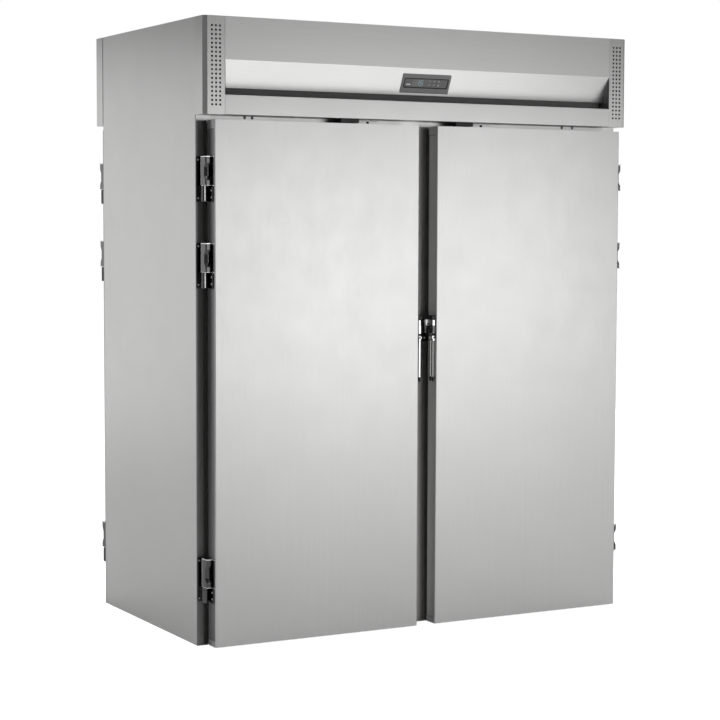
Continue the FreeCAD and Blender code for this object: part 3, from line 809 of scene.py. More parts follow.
def hinge_knuckles():
    """Lower knuckles with their collars, and the pins."""
    form = Form()
    knuckle = [
        (0.0, 0.0085), (0.0012, 0.0102), (0.0030, 0.0110), (0.046, 0.0110), (0.0465, 0.0104),
        (0.0475, 0.0104), (0.048, 0.0110), (0.0548, 0.0110), (HINGE_SPLIT, 0.0098),
        (HINGE_SPLIT, 0.0050), (HINGE_TALL - 0.014, 0.0050),
    ]
    for level in HINGE_LEVELS:
        form.lathe(knuckle, (HINGE[0], HINGE[1], level), (0, 0, 1), 32)
    return form


def base_screws():
    """Screws through the wall plates of the hinges."""
    form = Form()
    wall = BODY_LOW.y - 0.007
    for level in HINGE_LEVELS:
        for z in (level + 0.012, level + HINGE_TALL - 0.012):
            form.screw((HINGE[0] - 0.009, wall, z), (0, -1, 0), 0.0036)
    return form


LEVER_PIVOT = joint("front_left_lever_pivot")["pos_m"]


def latch_case():
    """Black parts of the latch: top cap, stop on it, cheek over the hub and back plate."""
    low, high = CASE_LOW, CASE_HIGH
    form = Form()
    form.block((low.x, low.y, high.z - 0.0150), (high.x, high.y, high.z), 0.0014, 3)
    stop = (low.x + 0.0035, low.y + 0.004, high.z - 0.0005), (low.x + 0.012, low.y + 0.018, high.z)
    form.block(*stop, 0.0002, 1)
    cheek_low = (high.x - 0.0055, low.y + 0.001, low.z + 0.019)
    form.block(cheek_low, (high.x - 0.0005, high.y - 0.009, high.z - 0.039), 0.0014, 3)
    back_high = (low.x + 0.0035, high.y - 0.002, high.z - BAND_TOP)
    return form.block((low.x, low.y + 0.002, low.z), back_high, 0.0010, 2)


def latch_band():
    """Bright bracket of the latch: front block, web, turned plate, lever's pin and screws."""
    low, high = CASE_LOW, CASE_HIGH
    top, bottom = high.z - BAND_TOP, high.z - BAND_FOOT
    form = Form()
    form.block((low.x, low.y + 0.0030, bottom), (low.x + 0.0120, low.y + 0.0230, top), 0.0010, 3)
    web_low = (low.x + 0.004, low.y + 0.0220, bottom)
    form.block(web_low, (low.x + 0.008, high.y - 0.0080, top), 0.0006, 1)
    plate = [
        (low.x + 0.0035, low.y + 0.0045), (low.x + 0.0035, low.y + 0.0028),
        (high.x - 0.0056, low.y + 0.0006), (high.x - 0.0056, low.y + 0.0045),
    ]
    form.prism(rounded_outline(plate, 0.0006), "z", low.z + 0.019, bottom + 0.001)
    pin = [(0.0, 0.004), (0.0110, 0.004), (0.0114, 0.0042), (0.0160, 0.0042), (0.0166, 0.0034)]
    form.lathe(pin, (low.x, LEVER_PIVOT[1], LEVER_PIVOT[2]), (1, 0, 0), 24)
    for y in (low.y + 0.008, high.y - 0.016):
        form.screw((high.x - 0.0005, y, high.z - 0.045), (1, 0, 0), 0.0022)
    return form


def latch_ears():
    """Satin back ear of the latch, turned a little towards the gap, and the edge below it; the
    satin metal is made paler than the other metals, partly a painted highlight.
    """
    low, high = CASE_LOW, CASE_HIGH
    top, bottom = high.z - BAND_TOP, high.z - BAND_FOOT
    form = Form()
    turn = 0.0055
    ear = [
        (low.x, high.y), (low.x, high.y - 0.0090 - turn),
        (high.x, high.y - 0.0090), (high.x, high.y),
    ]
    form.prism(rounded_outline(ear, 0.0008), "z", bottom, top)
    edge = [
        (high.x - 0.0065, high.y - 0.0010), (high.x - 0.0065, high.y - 0.0080 - turn * 0.4),
        (high.x - 0.0002, high.y - 0.0080), (high.x - 0.0002, high.y - 0.0010),
    ]
    return form.prism(rounded_outline(edge, 0.0006), "z", low.z + 0.0190, bottom + 0.0010)


PRONGS = (-0.0205, -0.0010)
PRONG_DEPTH = 0.0080


def tapered(form, line, near, far, radius, turn=0.0):
    """Closed outline in the lever's plane, given thickness, a slight turn and soft edges."""
    mesh = bmesh.new()
    sides = ((near, turn), (far, 0.0))
    loops = [[mesh.verts.new((x, a + back, b)) for a, b in line] for x, back in sides]
    count = len(line)
    mesh.faces.new(loops[0][::-1])
    mesh.faces.new(loops[1])
    for i in range(count):
        j = (i + 1) % count
        mesh.faces.new((loops[0][i], loops[0][j], loops[1][j], loops[1][i]))
    bmesh.ops.recalc_face_normals(mesh, faces=mesh.faces)
    bmesh.ops.bevel(
        mesh, geom=mesh.edges[:], offset=radius, segments=3, affect="EDGES", profile=0.5
    )
    return form.add_mesh(mesh)


def latch_lever():
    """Cast fork: round hub with the cam nose, bridge, shoulder and two tapered prongs."""
    form = Form()
    near, far = LEVER_LOW.x, LEVER_HIGH.x
    y, z = LEVER_PIVOT[1], LEVER_PIVOT[2]
    segments = 40
    hub = [
        (0.0, 0.0041), (0.0, 0.0142), (0.0008, 0.015), (far - near - 0.0008, 0.015),
        (far - near, 0.0142), (far - near, 0.0041),
    ]
    ring = Form().lathe(hub, (near, y, z), (1, 0, 0), segments)
    ring.faces = ring.faces[:-2]
    inner = (len(hub) - 1) * segments
    for k in range(segments):
        j = (k + 1) % segments
        ring.faces.append((k, inner + k, inner + j, j))
    form.add(ring.points, ring.faces)
    front, back = y + PRONGS[0], y + PRONGS[1] + PRONG_DEPTH
    bridge = [
        (front, z - 0.040), (front, z - 0.022), (y - 0.012, z - 0.0125),
        (y + 0.007, z - 0.0125), (back, z - 0.022), (back, z - 0.040),
    ]
    tapered(form, bridge, near, far, 0.0015)
    for start in PRONGS:
        shoulder_high = (far + 0.0035, y + start + PRONG_DEPTH, z - 0.0215)
        form.block((near, y + start, z - 0.031), shoulder_high, 0.0014, 3)
    tip = LEVER_LOW.z + 0.014
    for start, soft, turn in zip(PRONGS, (0.0016, 0.0032), (0.0018, 0.0)):
        slim = start + 0.0006
        line = [
            (y + slim, z - 0.036), (y + start + PRONG_DEPTH, z - 0.036),
            (y + start + PRONG_DEPTH - 0.0008, tip), (y + slim + 0.0008, tip),
        ]
        tapered(form, line, near + 0.0006, far - 0.0004, soft, turn)
    tilt = math.radians(38.0)
    along = Vector((0.0, math.cos(tilt), math.sin(tilt)))
    across = Vector((0.0, -math.sin(tilt), math.cos(tilt)))
    middle = Vector((0.0, y, z))
    outline = [along * 0.0130 + across * 0.008, along * 0.0130 - across * 0.008]
    outline += [along * 0.0488 - across * 0.006, along * 0.0488 + across * 0.006]
    flat = [((middle + p).y, (middle + p).z) for p in outline]
    return form.prism(rounded_outline(flat, 0.0025), "x", near + 0.0006, far - 0.0006)


def lever_tips():
    """Black sleeves on the ends of the prongs."""
    form = Form()
    for start in PRONGS:
        y = LEVER_PIVOT[1] + start
        sleeve_high = (LEVER_HIGH.x, y + PRONG_DEPTH + 0.0006, LEVER_LOW.z + 0.018)
        form.block((LEVER_LOW.x, y, LEVER_LOW.z), sleeve_high, 0.0028, 3)
    return form


def build_doors():
    """All four doors with their seals, hinges and latches."""
    # Each row: piece, form, material, material slot, CAD node it stands for.
    rows = [
        ("pan", door_pan(), STEEL_UP, "outer_steel", "skin"),
        ("edge", door_edge(), STEEL_EDGE_PAINTED_SHADE, "outer_steel", None),
        ("lining", door_lining(), STEEL_INSIDE, "inner_steel", "liner"),
        ("gasket", door_gasket(), SEAL, "seal_rubber", "seals"),
        ("sweep", door_sweep(), SEAL, "seal_rubber", None),
        ("hinges", hinge_straps(), HINGE_CHROME_PAINTED_SHADE, "hinge_chrome", "hinge_straps"),
        ("hinge_lips", hinge_lips(), CHROME, "hinge_chrome", None),
        ("hinge_screws", hinge_screws(), SCREW, "hinge_chrome", None),
        ("latch_case", latch_case(), BLACK, "black_plastic", "latch_housing"),
        ("latch_band", latch_band(), CHROME, "lever_chrome", None),
        ("latch_ears", latch_ears(), SATIN_PAINTED_HIGHLIGHT, "lever_chrome", None),
        ("fork", latch_lever(), CHROME, "lever_chrome", "latch_lever"),
        ("tips", lever_tips(), BLACK, "black_plastic", None),
        ("seams", door_seams(), SEAL, "seal_rubber", None),
    ]
    for face, face_sign in FACES.items():
        for side, side_sign in SIDES.items():
            door = f"{face}_{side}_door"
            for name, drawn, material, slot, node in rows:
                body = f"{face}_{side}_lever" if name in ("fork", "tips") else door
                replaced = [f"{door}_{node}"] if node else []
                moved = drawn.mirrored(side_sign, face_sign)
                piece(f"{body}_{name}", moved, material, body, replaced)
            dress(f"{door}_core", FOAM)


# ----------------------------------------------------------------- body shell
def side_shell():
    """Outer pan of a side wall, with soft vertical edges and a base channel."""
    low, high = BODY_LOW, BODY_HIGH
    face = low.x + PROUD
    plan = [(high.x, high.y), (face, high.y), (face, low.y), (high.x, low.y)]
    form = Form().sheet(plan, SHEET, 0.0025, "z", low.z + 0.003, high.z)
    return form.block((face, low.y, low.z), (high.x, high.y, low.z + 0.003), 0.0008, 1)


def jamb_strip():
    """Steel edge of a side wall, folded round beside the door, in a darkened steel that paints the
    shade beside the door edge.
    """
    face, left = BODY_LOW.y, BODY_LOW.x + PROUD
    front = face - STRIP_RISE
    line = [(left, face), (left, front), (JAMB_X, front), (JAMB_X, face)]
    return Form().prism(line[::-1], "z", 0.0, SKIN_HIGH.z)


def breaker_strip():
    """Ribbed breaker extrusion between the steel edge and the opening."""
    face = BODY_LOW.y
    line = [(JAMB_X, face)]
    ribs = 3
    pitch = (OPENING_X - JAMB_X) / ribs
    for rib in range(ribs):
        start = JAMB_X + rib * pitch
        line += [
            (start + pitch * 0.15, face - 0.0018), (start + pitch * 0.30, face - STRIP_RISE),
            (start + pitch * 0.75, face - STRIP_RISE), (start + pitch * 0.90, face - 0.0018),
        ]
    line += [(OPENING_X, face)]
    return Form().prism(line[::-1], "z", 0.0, SKIN_HIGH.z)


def fascia_sheet():
    """Fascia panel with bend radii at the fold and the stiffening hem."""
    low, high = PANEL_LOW, PANEL_HIGH
    line = [
        (low.y, high.z), (low.y, FOLD_Z), (low.y + SLOPE_DEPTH, SLOPE_Z),
        (high.y, SLOPE_Z), (high.y, SLOPE_Z + 0.010),
    ]
    return Form().sheet(line, SHEET, 0.0030, "x", low.x, high.x)


def fascia_channel():
    """Lower lip with bend radii and a folded back edge."""
    low, high = LIP_LOW, LIP_HIGH
    line = [(high.y, high.z), (low.y, high.z), (low.y, low.z), (high.y, low.z)]
    return Form().sheet(line, SHEET, 0.0030, "x", low.x, high.x)


VENT_COLUMNS = 3
VENT_ROWS = 19
VENT_PITCH_X = 0.0155
VENT_PITCH_Z = 0.0153
VENT_MIDDLE = (-0.863, 2.077)
VENT_RADIUS = 0.0040


def perforated(form, x0, x1, z0, z1, y, depth):
    """Flat strip facing the front with the vent's grid of round holes through it."""
    half_x = VENT_PITCH_X * VENT_COLUMNS / 2
    half_z = VENT_PITCH_Z * VENT_ROWS / 2
    cx, cz = VENT_MIDDLE
    margins = [
        (x0, cx - half_x, z0, z1), (cx + half_x, x1, z0, z1),
        (cx - half_x, cx + half_x, z0, cz - half_z),
        (cx - half_x, cx + half_x, cz + half_z, z1),
    ]
    for a, b, c, d in margins:
        for at in (y, y + depth):
            form.add([(a, at, c), (b, at, c), (b, at, d), (a, at, d)], [(0, 1, 2, 3)])
    steps = 6
    for column in range(VENT_COLUMNS):
        for row in range(VENT_ROWS):
            mx = cx - half_x + (column + 0.5) * VENT_PITCH_X
            mz = cz - half_z + (row + 0.5) * VENT_PITCH_Z
            vent_cell(form, mx, mz, y, depth, steps)


def vent_cell(form, mx, mz, y, depth, steps):
    """One square of sheet with a round hole and the hole's wall."""
    square, circle = [], []
    hx, hz = VENT_PITCH_X / 2, VENT_PITCH_Z / 2
    corners = [(hx, -hz), (hx, hz), (-hx, hz), (-hx, -hz)]
    for k in range(4):
        (ax, az), (bx, bz) = corners[k], corners[(k + 1) % 4]
        for step in range(steps):
            t = step / steps
            square.append((mx + ax + (bx - ax) * t, mz + az + (bz - az) * t))
            angle = math.pi / 2 * (k + t) - math.pi / 4
            across, up = math.cos(angle), math.sin(angle)
            circle.append((mx + VENT_RADIUS * across, mz + VENT_RADIUS * up))
    count = len(square)
    points = lift(square + circle, "y", y) + lift(square + circle, "y", y + depth)
    faces = []
    for i in range(count):
        j = (i + 1) % count
        faces.append((i, j, count + j, count + i))
        faces.append((2 * count + i, 3 * count + i, 3 * count + j, 2 * count + j))
        faces.append((count + i, count + j, 3 * count + j, 3 * count + i))
    form.add(points, faces)


def fascia_cap():
    """End of a fascia: side return, chamfer, perforated strip, cheek and floor."""
    low, high = ENDS_LOW, ENDS_HIGH
    chamfer = CAP_CHAMFER
    inner_x = PANEL_LOW.x
    back = BODY_LOW.y
    form = Form()
    start = low.x + chamfer + 0.004
    corner = [(low.x, back), (low.x, low.y + chamfer), (low.x + chamfer, low.y), (start, low.y)]
    form.sheet(corner, SHEET, 0.0016, "z", low.z, high.z)
    perforated(form, start, inner_x - 0.003, low.z, high.z, low.y, SHEET)
    cheek = [(inner_x - 0.003, low.y), (inner_x, low.y), (inner_x, back - 0.001)]
    form.sheet(cheek, SHEET, 0.0014, "z", low.z, high.z)
    floor = [
        (low.x + SHEET, back), (low.x + SHEET, low.y + chamfer + 0.0006),
        (low.x + chamfer + 0.0006, low.y + SHEET), (inner_x - SHEET, low.y + SHEET),
        (inner_x - SHEET, back),
    ]
    return form.prism(floor, "z", low.z, low.z + SHEET)


def slot_filter():
    """Pleated filter behind the air slot between the slope and the lip, dark grey: partly its own
    colour, partly painted shade of the opening.
    """
    low_x, high_x = PANEL_LOW.x, PANEL_HIGH.x
    back = BODY_LOW.y - 0.002
    pleats = 400
    pitch = (high_x - low_x) / pleats
    line = [(low_x, back)]
    for pleat in range(pleats):
        start = low_x + pleat * pitch
        line += [(start, back - 0.0078), (start + pitch / 2, back - 0.009)]
    line += [(high_x, back - 0.0078), (high_x, back)]
    return Form().prism(line[::-1], "z", LIP_HIGH.z - 0.002, 2.014)


def recess_cheek():
    """End of the recess, between the slope and the vent strip, in dark plastic: painted shade for
    the shade inside the recess.
    """
    x = PANEL_LOW.x
    front, back = PANEL_LOW.y + 0.001, BODY_LOW.y - 0.004
    outline = [
        (front, 2.096), (front, LIP_HIGH.z), (back, LIP_HIGH.z),
        (back, 2.0), (PANEL_LOW.y + SLOPE_DEPTH, 2.0),
    ]
    return Form().prism(outline, "x", x + 0.0002, x + 0.0016)


def fly_screen():
    """Plain screen behind a vent strip, near black: partly a real screen, partly painted shade so
    that the holes read as a shaded cavity.
    """
    cx, cz = VENT_MIDDLE
    return Form().block(
        (cx - 0.029, ENDS_LOW.y + 0.0024, cz - 0.155),
        (cx + 0.029, ENDS_LOW.y + 0.0040, cz + 0.155), 0.0004, 1,
    )


def roof():
    """Top cover, cross-broken so that it stays stiff, with its turned-down edge."""
    low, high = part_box("top_cover")
    chamfer = CAP_CHAMFER
    outline = [
        (low.x, low.y + chamfer), (low.x + chamfer, low.y),
        (high.x - chamfer, low.y), (high.x, low.y + chamfer),
        (high.x, high.y - chamfer), (high.x - chamfer, high.y),
        (low.x + chamfer, high.y), (low.x, high.y - chamfer),
    ]
    count = len(outline)
    edge = 0.0004
    points = lift(outline, "z", low.z) + lift(outline, "z", high.z - edge)
    points += [(x * 0.9995, y * 0.9991, high.z) for x, y in outline]
    points += [(x * 0.955, y * 0.925, high.z) for x, y in outline]
    points += [(0.0, 0.0, high.z - 0.0012)]
    faces = [tuple(range(count))[::-1]]
    faces += bands(4, count)
    for i in range(count):
        faces.append((3 * count + i, 3 * count + (i + 1) % count, 4 * count))
    return Form().add(points, faces)


def build_shell():
    """Side walls, breaker strips, fascias and roof."""
    shell = side_shell()
    for side, drawn in (("left", shell), ("right", shell.mirrored(1, -1))):
        replaced = [f"side_panel_{side}"]
        piece(f"{side}_side_shell", drawn, STEEL_UP, "cabinet", replaced)
    # Each row: piece, form, material, material slot, CAD nodes it stands for.
    for name, drawn, material, slot, replaced in (
        ("breaker_strips", breaker_strip(), BREAKER, "breaker_plastic", ["side_breakers"]),
        ("jamb_edges", jamb_strip(), STEEL_JAMB_PAINTED_SHADE, "outer_steel", []),
        ("hinge_wall_plates", hinge_plates(), HINGE_CHROME_PAINTED_SHADE, "hinge_chrome", ["hinge_bases"]),
        ("hinge_knuckles", hinge_knuckles(), KNUCKLE_PAINTED_SHADE, "hinge_chrome", []),
        ("hinge_wall_screws", base_screws(), SCREW, "hinge_chrome", []),
    ):
        piece(name, drawn.at_corners(), material, "cabinet", replaced)
    for face, sign in FACES.items():
        # Each row: piece, form, material, material slot, CAD node, angle of its sharp edges.
        for name, drawn, material, slot, node, smooth in (
            ("fascia_sheet", fascia_sheet(), STEEL_ACROSS, "outer_steel", "panel", 35.0),
            ("fascia_channel", fascia_channel(), STEEL_ACROSS, "outer_steel", "lip", 35.0),
            ("fascia_caps", fascia_cap().both_sides(), STEEL_CAP, "outer_steel", "ends", 25.0),
            ("vent_screens", fly_screen().both_sides(), SCREEN_PAINTED_SHADE, "black_plastic", None, 35.0),
            ("slot_filter", slot_filter(), FILTER_PAINTED_SHADE, "black_plastic", None, 10.0),
            ("recess_cheeks", recess_cheek().both_sides(), BREAKER, "black_plastic", None, 35.0),
        ):
            replaced = [f"{face}_fascia_{node}"] if node else []
            moved = drawn.mirrored(-1, sign)
            piece(f"{face}_{name}", moved, material, "cabinet", replaced, smooth)
    piece("roof_cover", roof(), STEEL_ACROSS, "cabinet", ["top_cover"])


# ----------------------------------------------------------------- controller
SLOPE_TOP = Vector((0.0, PANEL_LOW.y, FOLD_Z))
SLOPE_END = Vector((0.0, PANEL_LOW.y + SLOPE_DEPTH, SLOPE_Z))
DOWNHILL = (SLOPE_END - SLOPE_TOP).normalized()
OUTWARD = Vector((0.0, DOWNHILL.z, -DOWNHILL.y))
WINDOW_FACE = 0.0018
MARK_RISE = 0.0003
DIGIT_NEAR, DIGIT_WIDE, DIGIT_TALL = 0.0460, 0.0100, 0.0200


def on_slope(x, downhill, off):
    """Point on the sloping face, by distance from the fold and off the face."""
    return SLOPE_TOP + DOWNHILL * downhill + OUTWARD * off + Vector((x, 0.0, 0.0))


def slope_slab(form, x0, x1, near, far, low, high, radius, hole=None):
    """Rounded plate on the slope, with a rounded window through it when one is given."""
    outline = rounded_outline([(x0, near), (x1, near), (x1, far), (x0, far)], radius, 6)
    count = len(outline)
    if hole is None:
        soft = min(0.0006, (high - low) * 0.4)
        rings = [(outline, low), (outline, high - soft), (shrunk(outline, soft), high)]
        points = [on_slope(x, d, off) for line, off in rings for x, d in line]
        faces = [tuple(range(count))[::-1], tuple(range(2 * count, 3 * count))]
    else:
        hx0, hx1, hnear, hfar, hradius = hole
        window = rounded_outline([(hx0, hnear), (hx1, hnear), (hx1, hfar), (hx0, hfar)], hradius, 6)
        soft = 0.0006
        rings = [
            (window, low), (outline, low), (outline, high - soft), (shrunk(outline, soft), high),
            (window, high), (window, low),
        ]
        points = [on_slope(x, d, off) for line, off in rings for x, d in line]
        faces = []
    return form.add(points, faces + bands(len(rings), count))


def shrunk(outline, distance):
    """Closed outline pulled in towards its middle."""
    mx = sum(x for x, _ in outline) / len(outline)
    my = sum(y for _, y in outline) / len(outline)
    made = []
    for x, y in outline:
        dx = distance if x < mx else -distance
        dy = distance if y < my else -distance
        made.append((x + dx, y + dy))
    return made


SEGMENTS = {
    "top": ((0, 1), (1, 1)), "upper_right": ((1, 1), (1, 0.5)), "lower_right": ((1, 0.5), (1, 0)),
    "bottom": ((1, 0), (0, 0)), "lower_left": ((0, 0), (0, 0.5)), "upper_left": ((0, 0.5), (0, 1)),
    "middle": ((0, 0.5), (1, 0.5)),
}
DIGITS = {
    "1": ("upper_right", "lower_right"),
    "8": tuple(SEGMENTS),
    "5": ("top", "upper_left", "middle", "lower_right", "bottom"),
}


def digit(form, character, x, off):
    """Seven-segment digit lying on the window."""
    near, wide, tall = DIGIT_NEAR, DIGIT_WIDE, DIGIT_TALL
    stroke = wide * 0.15
    lean = tall * 0.16
    for name in DIGITS[character]:
        (ax, ay), (bx, by) = SEGMENTS[name]
        start = Vector((x + ax * wide + ay * lean, near + (1 - ay) * tall))
        end = Vector((x + bx * wide + by * lean, near + (1 - by) * tall))
        along = (end - start).normalized()
        start += along * stroke * 0.45
        end -= along * stroke * 0.45
        side = Vector((-along.y, along.x)) * stroke / 2
        tip = along * stroke * 0.4
        outline = [
            start, start + tip + side, end - tip + side, end, end - tip - side, start + tip - side,
        ]
        points = [on_slope(p.x, p.y, up) for up in (off, off + MARK_RISE) for p in outline]
        form.add(points, closed(2, 6)[-2:] + bands(2, 6))
    return form


def build_controller():
    """Surround, touch window, lit digits and touch marks."""
    low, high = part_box("control_plate")
    left, right = low.x, high.x
    surround = slope_slab(
        Form(), left, right, 0.022, 0.097, 0.0, 0.003, 0.0035,
        hole=(left + 0.008, right - 0.008, 0.037, 0.077, 0.006),
    )
    piece("controller_surround", surround, SURROUND, "cabinet", ["control_plate"])
    rim = slope_slab(
        Form(), left + 0.0082, right - 0.0082, 0.0372, 0.0768, 0.0, 0.0024, 0.006,
        hole=(left + 0.012, right - 0.012, 0.0405, 0.0735, 0.0045),
    )
    piece("controller_rim", rim, BLACK, "cabinet")
    window = slope_slab(
        Form(), left + 0.0118, right - 0.0118, 0.0403, 0.0737, 0.0, WINDOW_FACE, 0.0045
    )
    piece("controller_window", window, WINDOW, "cabinet", ["control_window"])
    digits, unlit = Form(), Form()
    for character, x in (("1", -0.0360), ("5", -0.0205)):
        digit(unlit, "8", x, WINDOW_FACE)
        digit(digits, character, x, WINDOW_FACE + 0.0002)
    digit(unlit, "8", -0.0510, WINDOW_FACE)
    piece("controller_digits", digits, DIGIT, "cabinet")
    # The unlit segments glow faintly: painted light, not lit segments.
    piece("controller_unlit_digits", unlit, GHOST_PAINTED_GLOW, "cabinet")
    marks = Form()
    mark_face = WINDOW_FACE + MARK_RISE
    slope_slab(marks, -0.0780, -0.0600, 0.0615, 0.0650, WINDOW_FACE, mark_face, 0.0008)
    for column in range(3):
        for row in range(2):
            touch_mark(marks, column, 0.0195 + column * 0.0193, 0.0455 + row * 0.0155)
    piece("controller_marks", marks, MARK, "cabinet")
    dress("control_board", BOARD)


def touch_mark(form, kind, x, near):
    """Plain touch mark: a tee, three short bars or two upright bars."""
    def bar(left, right, upper, lower):
        slope_slab(
            form, x + left, x + right, near + upper, near + lower,
            WINDOW_FACE, WINDOW_FACE + MARK_RISE, 0.0004,
        )

    if kind == 0:
        bar(0.0, 0.005, 0.0, 0.0012)
        bar(0.0019, 0.0031, 0.0018, 0.0050)
    elif kind == 1:
        bar(0.0, 0.006, 0.0018, 0.0030)
        bar(0.0024, 0.0036, 0.0, 0.0014)
        bar(0.0024, 0.0036, 0.0034, 0.0048)
    else:
        bar(0.0010, 0.0024, 0.0, 0.0050)
        bar(0.0034, 0.0048, 0.0, 0.0050)


# ------------------------------------------------------------ smaller fittings
def build_switches():
    """Door switches under each fascia: case, feeler arm and knob."""
    low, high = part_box("door_switches")
    for face, sign in FACES.items():
        cases, arms = Form(), Form()
        for x in (-0.362, 0.130):
            y0 = ENDS_LOW.y + 0.008
            cases.block((x, y0, low.z), (x + 0.076, y0 + 0.030, high.z), 0.0016, 3)
            arm_low = (x + 0.076, y0 + 0.010, high.z - 0.008)
            arms.block(arm_low, (x + 0.160, y0 + 0.022, high.z - 0.006), 0.0006, 2)
            knob = [(0.0, 0.0036), (0.001, 0.0048), (0.0055, 0.005), (0.007, 0.0034)]
            cases.lathe(knob, (x + 0.120, y0 + 0.016, high.z - 0.015), (0, 0, 1), 24)
        moved = cases.mirrored(-1, sign)
        first = piece(f"{face}_switch_cases", moved, BLACK, "cabinet")
        piece(f"{face}_switch_arms", arms.mirrored(-1, sign), SCREW, "cabinet")
        if face == "front":
            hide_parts("door_switches")


def build_keepers():
    """Pads on the centre posts with their two screws."""
    low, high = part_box("latch_keepers")
    pad = Form().block((-0.044, low.y, low.z), (-0.020, BODY_LOW.y, high.z), 0.003, 3)
    head = Form()
    for z in (low.z + 0.014, high.z - 0.014):
        head.screw((-0.032, low.y, z), (0, -1, 0), 0.0045)
    piece("keeper_pads", pad.at_corners(), BLACK, "cabinet", ["latch_keepers"])
    piece("keeper_screws", head.at_corners(), SCREW, "cabinet")


def build_lintel_screws():
    """Small screws along both lintels, just under the fascia lips."""
    form = Form()
    z = LIP_LOW.z - 0.0050
    for x in (-0.716, -0.686, 0.659, 0.708):
        form.screw((x, BODY_LOW.y, z), (0, -1, 0), 0.0050)
        form.screw((x, -BODY_LOW.y, z), (0, 1, 0), 0.0050)
    piece("lintel_screws", form, SCREW_DARK, "cabinet")


def build_bumpers():
    """Rounded rails for the racks."""
    low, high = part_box("trolley_bumpers")
    form = Form()
    wall = BODY_HIGH.x
    reach, proud, tall = 0.380, 0.030, 0.060
    for level in (0.230, 0.880):
        top = level + tall
        form.boxes(
            0.008, 4,
            ((wall, -reach, level), (wall + proud, reach, top)),
            ((-wall - proud, -reach, level), (-wall, reach, top)),
        )
        form.block((-0.015, low.y, level), (0.015, high.y, top), 0.006, 4)
    piece("rack_bumpers", form, BUMPER, "cabinet", ["trolley_bumpers"])


def dress_inside():
    """Materials of the CAD nodes that keep their own shape."""
    finishes = {
        STEEL_CAD: ["door_frames"],
        STEEL_INSIDE: ["side_liners", "ceiling_deck", "ceiling_grilles", "humidity_probe"],
        FOAM: ["body_insulation"],
        ZINC: ["fan_housings", "electrical_box"],
        CAST: ["fan_motors", "fan_rotor_left", "fan_rotor_right"],
        STEEL_DARK: ["air_heaters"],
        BLACK: ["cable_gland"],
        LENS: ["ceiling_lamps"],
    }
    for material, nodes in finishes.items():
        for node in nodes:
            dress(node, material)
    boiler = brushed("boiler_steel", 2, base=(0.6, 0.6, 0.6), roughness=0.38, edge=0.001)
    dress("humidifier", boiler)


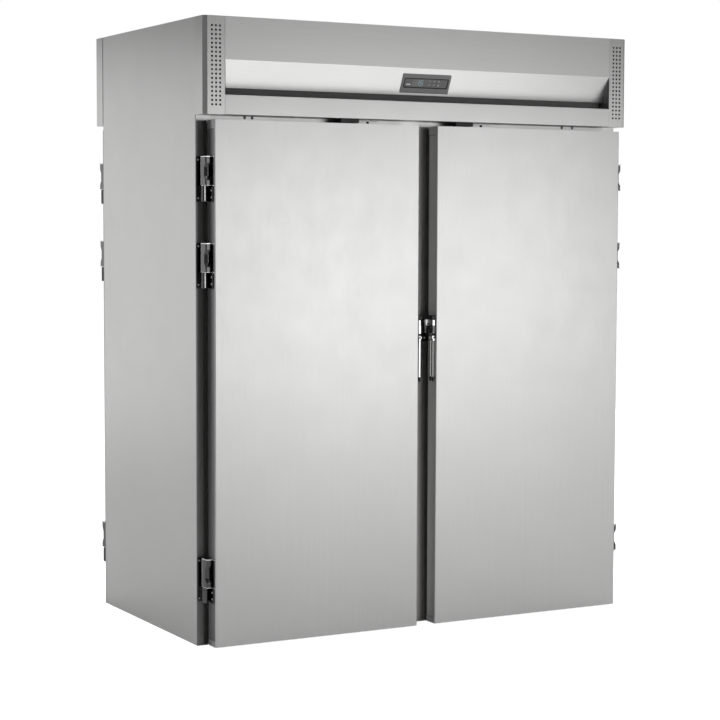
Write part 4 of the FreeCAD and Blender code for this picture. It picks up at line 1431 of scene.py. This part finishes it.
# ---------------------------------------------------------------------- stage
def build_stage():
    """Pale floor and soft studio light."""
    floor = bpy.data.meshes.new("floor")
    reach = 30.0
    corners = [(-reach, -reach), (reach, -reach), (reach, reach), (-reach, reach)]
    floor.from_pydata([(x, y, FLOOR_Z) for x, y in corners], [], [(0, 1, 2, 3)])
    shader = Shader("floor_paint", (0.86, 0.86, 0.86), 0.0, 0.75)
    shader.tint(shader.noise(1.3, detail=4.0), 0.985, 1.01)
    shader.surface.inputs["Emission Color"].default_value = (1.0, 1.0, 1.0, 1.0)
    eye = shader.tree.nodes.new("ShaderNodeLightPath")
    glow = shader.node("ShaderNodeMath")
    glow.operation = "MULTIPLY"
    glow.inputs[1].default_value = 0.92
    shader.link(eye.outputs["Is Camera Ray"], glow.inputs[0])
    shader.link(glow.outputs["Value"], shader.surface.inputs["Emission Strength"])
    floor.materials.append(shader.material)
    ground = bpy.data.objects.new("floor", floor)
    bpy.context.scene.collection.objects.link(ground)

    world = bpy.data.worlds.new("studio")
    world.use_nodes = True
    bpy.context.scene.world = world
    tree = world.node_tree
    sky = tree.nodes["Background"]
    sky.inputs["Color"].default_value = (0.13, 0.13, 0.13, 1.0)
    white = tree.nodes.new("ShaderNodeBackground")
    white.inputs["Color"].default_value = (1.0, 1.0, 1.0, 1.0)
    path = tree.nodes.new("ShaderNodeLightPath")
    mix = tree.nodes.new("ShaderNodeMixShader")
    tree.links.new(path.outputs["Is Camera Ray"], mix.inputs["Fac"])
    tree.links.new(sky.outputs["Background"], mix.inputs[1])
    tree.links.new(white.outputs["Background"], mix.inputs[2])
    tree.links.new(mix.outputs["Shader"], tree.nodes["World Output"].inputs["Surface"])

    card("key_card", (3.15, -6.2, 1.25), (0.0, 1.0, 0.0), 4.45, 2.3, 1.44)
    card("back_card", (0.0, 6.2, 1.38), (0.0, -1.0, 0.0), 13.0, 2.84, 0.62)
    for side, sign in SIDES.items():
        card(f"{side}_card", (8.0 * sign, 0.0, 1.40), (-sign, 0.0, 0.0), 5.0, 2.8, 0.50)
    card("top_card", (0.0, 0.0, 6.0), (0.0, 0.0, -1.0), 9.0, 9.0, 1.1)
    sheets = bpy.data.collections.new("fascia_sheets")
    for face, sign in FACES.items():
        sheets.objects.link(bpy.data.objects[f"{face}_fascia_sheet"])
        place = (-0.3 * sign, 2.2 * sign, 0.4)
        low = card(f"{face}_slope_card", place, (0.0, 0.0, 1.0), 3.8, 2.2, 0.62)
        low.light_linking.receiver_collection = sheets
    fittings = bpy.data.collections.new("bright_fittings")
    endings = ("hinge_lips", "latch_band", "latch_ears", "lever_fork")
    for thing in bpy.context.scene.collection.objects[:]:
        if thing.name.endswith(endings):
            fittings.objects.link(thing)
    glint = card("glint_card", (-0.5, -6.2, 1.25), (0.0, 1.0, 0.0), 2.4, 2.3, 1.5)
    glint.light_linking.receiver_collection = fittings
    barrels = bpy.data.collections.new("hinge_barrels")
    barrels.objects.link(bpy.data.objects["hinge_knuckles"])
    shine = card("barrel_card", (-1.1, -6.2, 1.25), (0.0, 1.0, 0.0), 2.0, 2.3, 7.0)
    shine.light_linking.receiver_collection = barrels


def card(name, place, facing, width, height, radiance):
    """Large soft light with an even brightness, which the camera doesn't see."""
    data = bpy.data.lights.new(name, "AREA")
    data.shape = "RECTANGLE"
    data.size = width
    data.size_y = height
    data.energy = 4.0 * width * height * radiance
    light = bpy.data.objects.new(name, data)
    light.location = place
    light.rotation_euler = Vector(facing).to_track_quat("-Z", "Y").to_euler()
    light.visible_camera = False
    bpy.context.scene.collection.objects.link(light)
    return light


build_doors()
build_shell()
build_controller()
build_switches()
build_keepers()
build_lintel_screws()
build_bumpers()
dress_inside()
build_stage()
bpy.context.scene.view_settings.view_transform = "Standard"
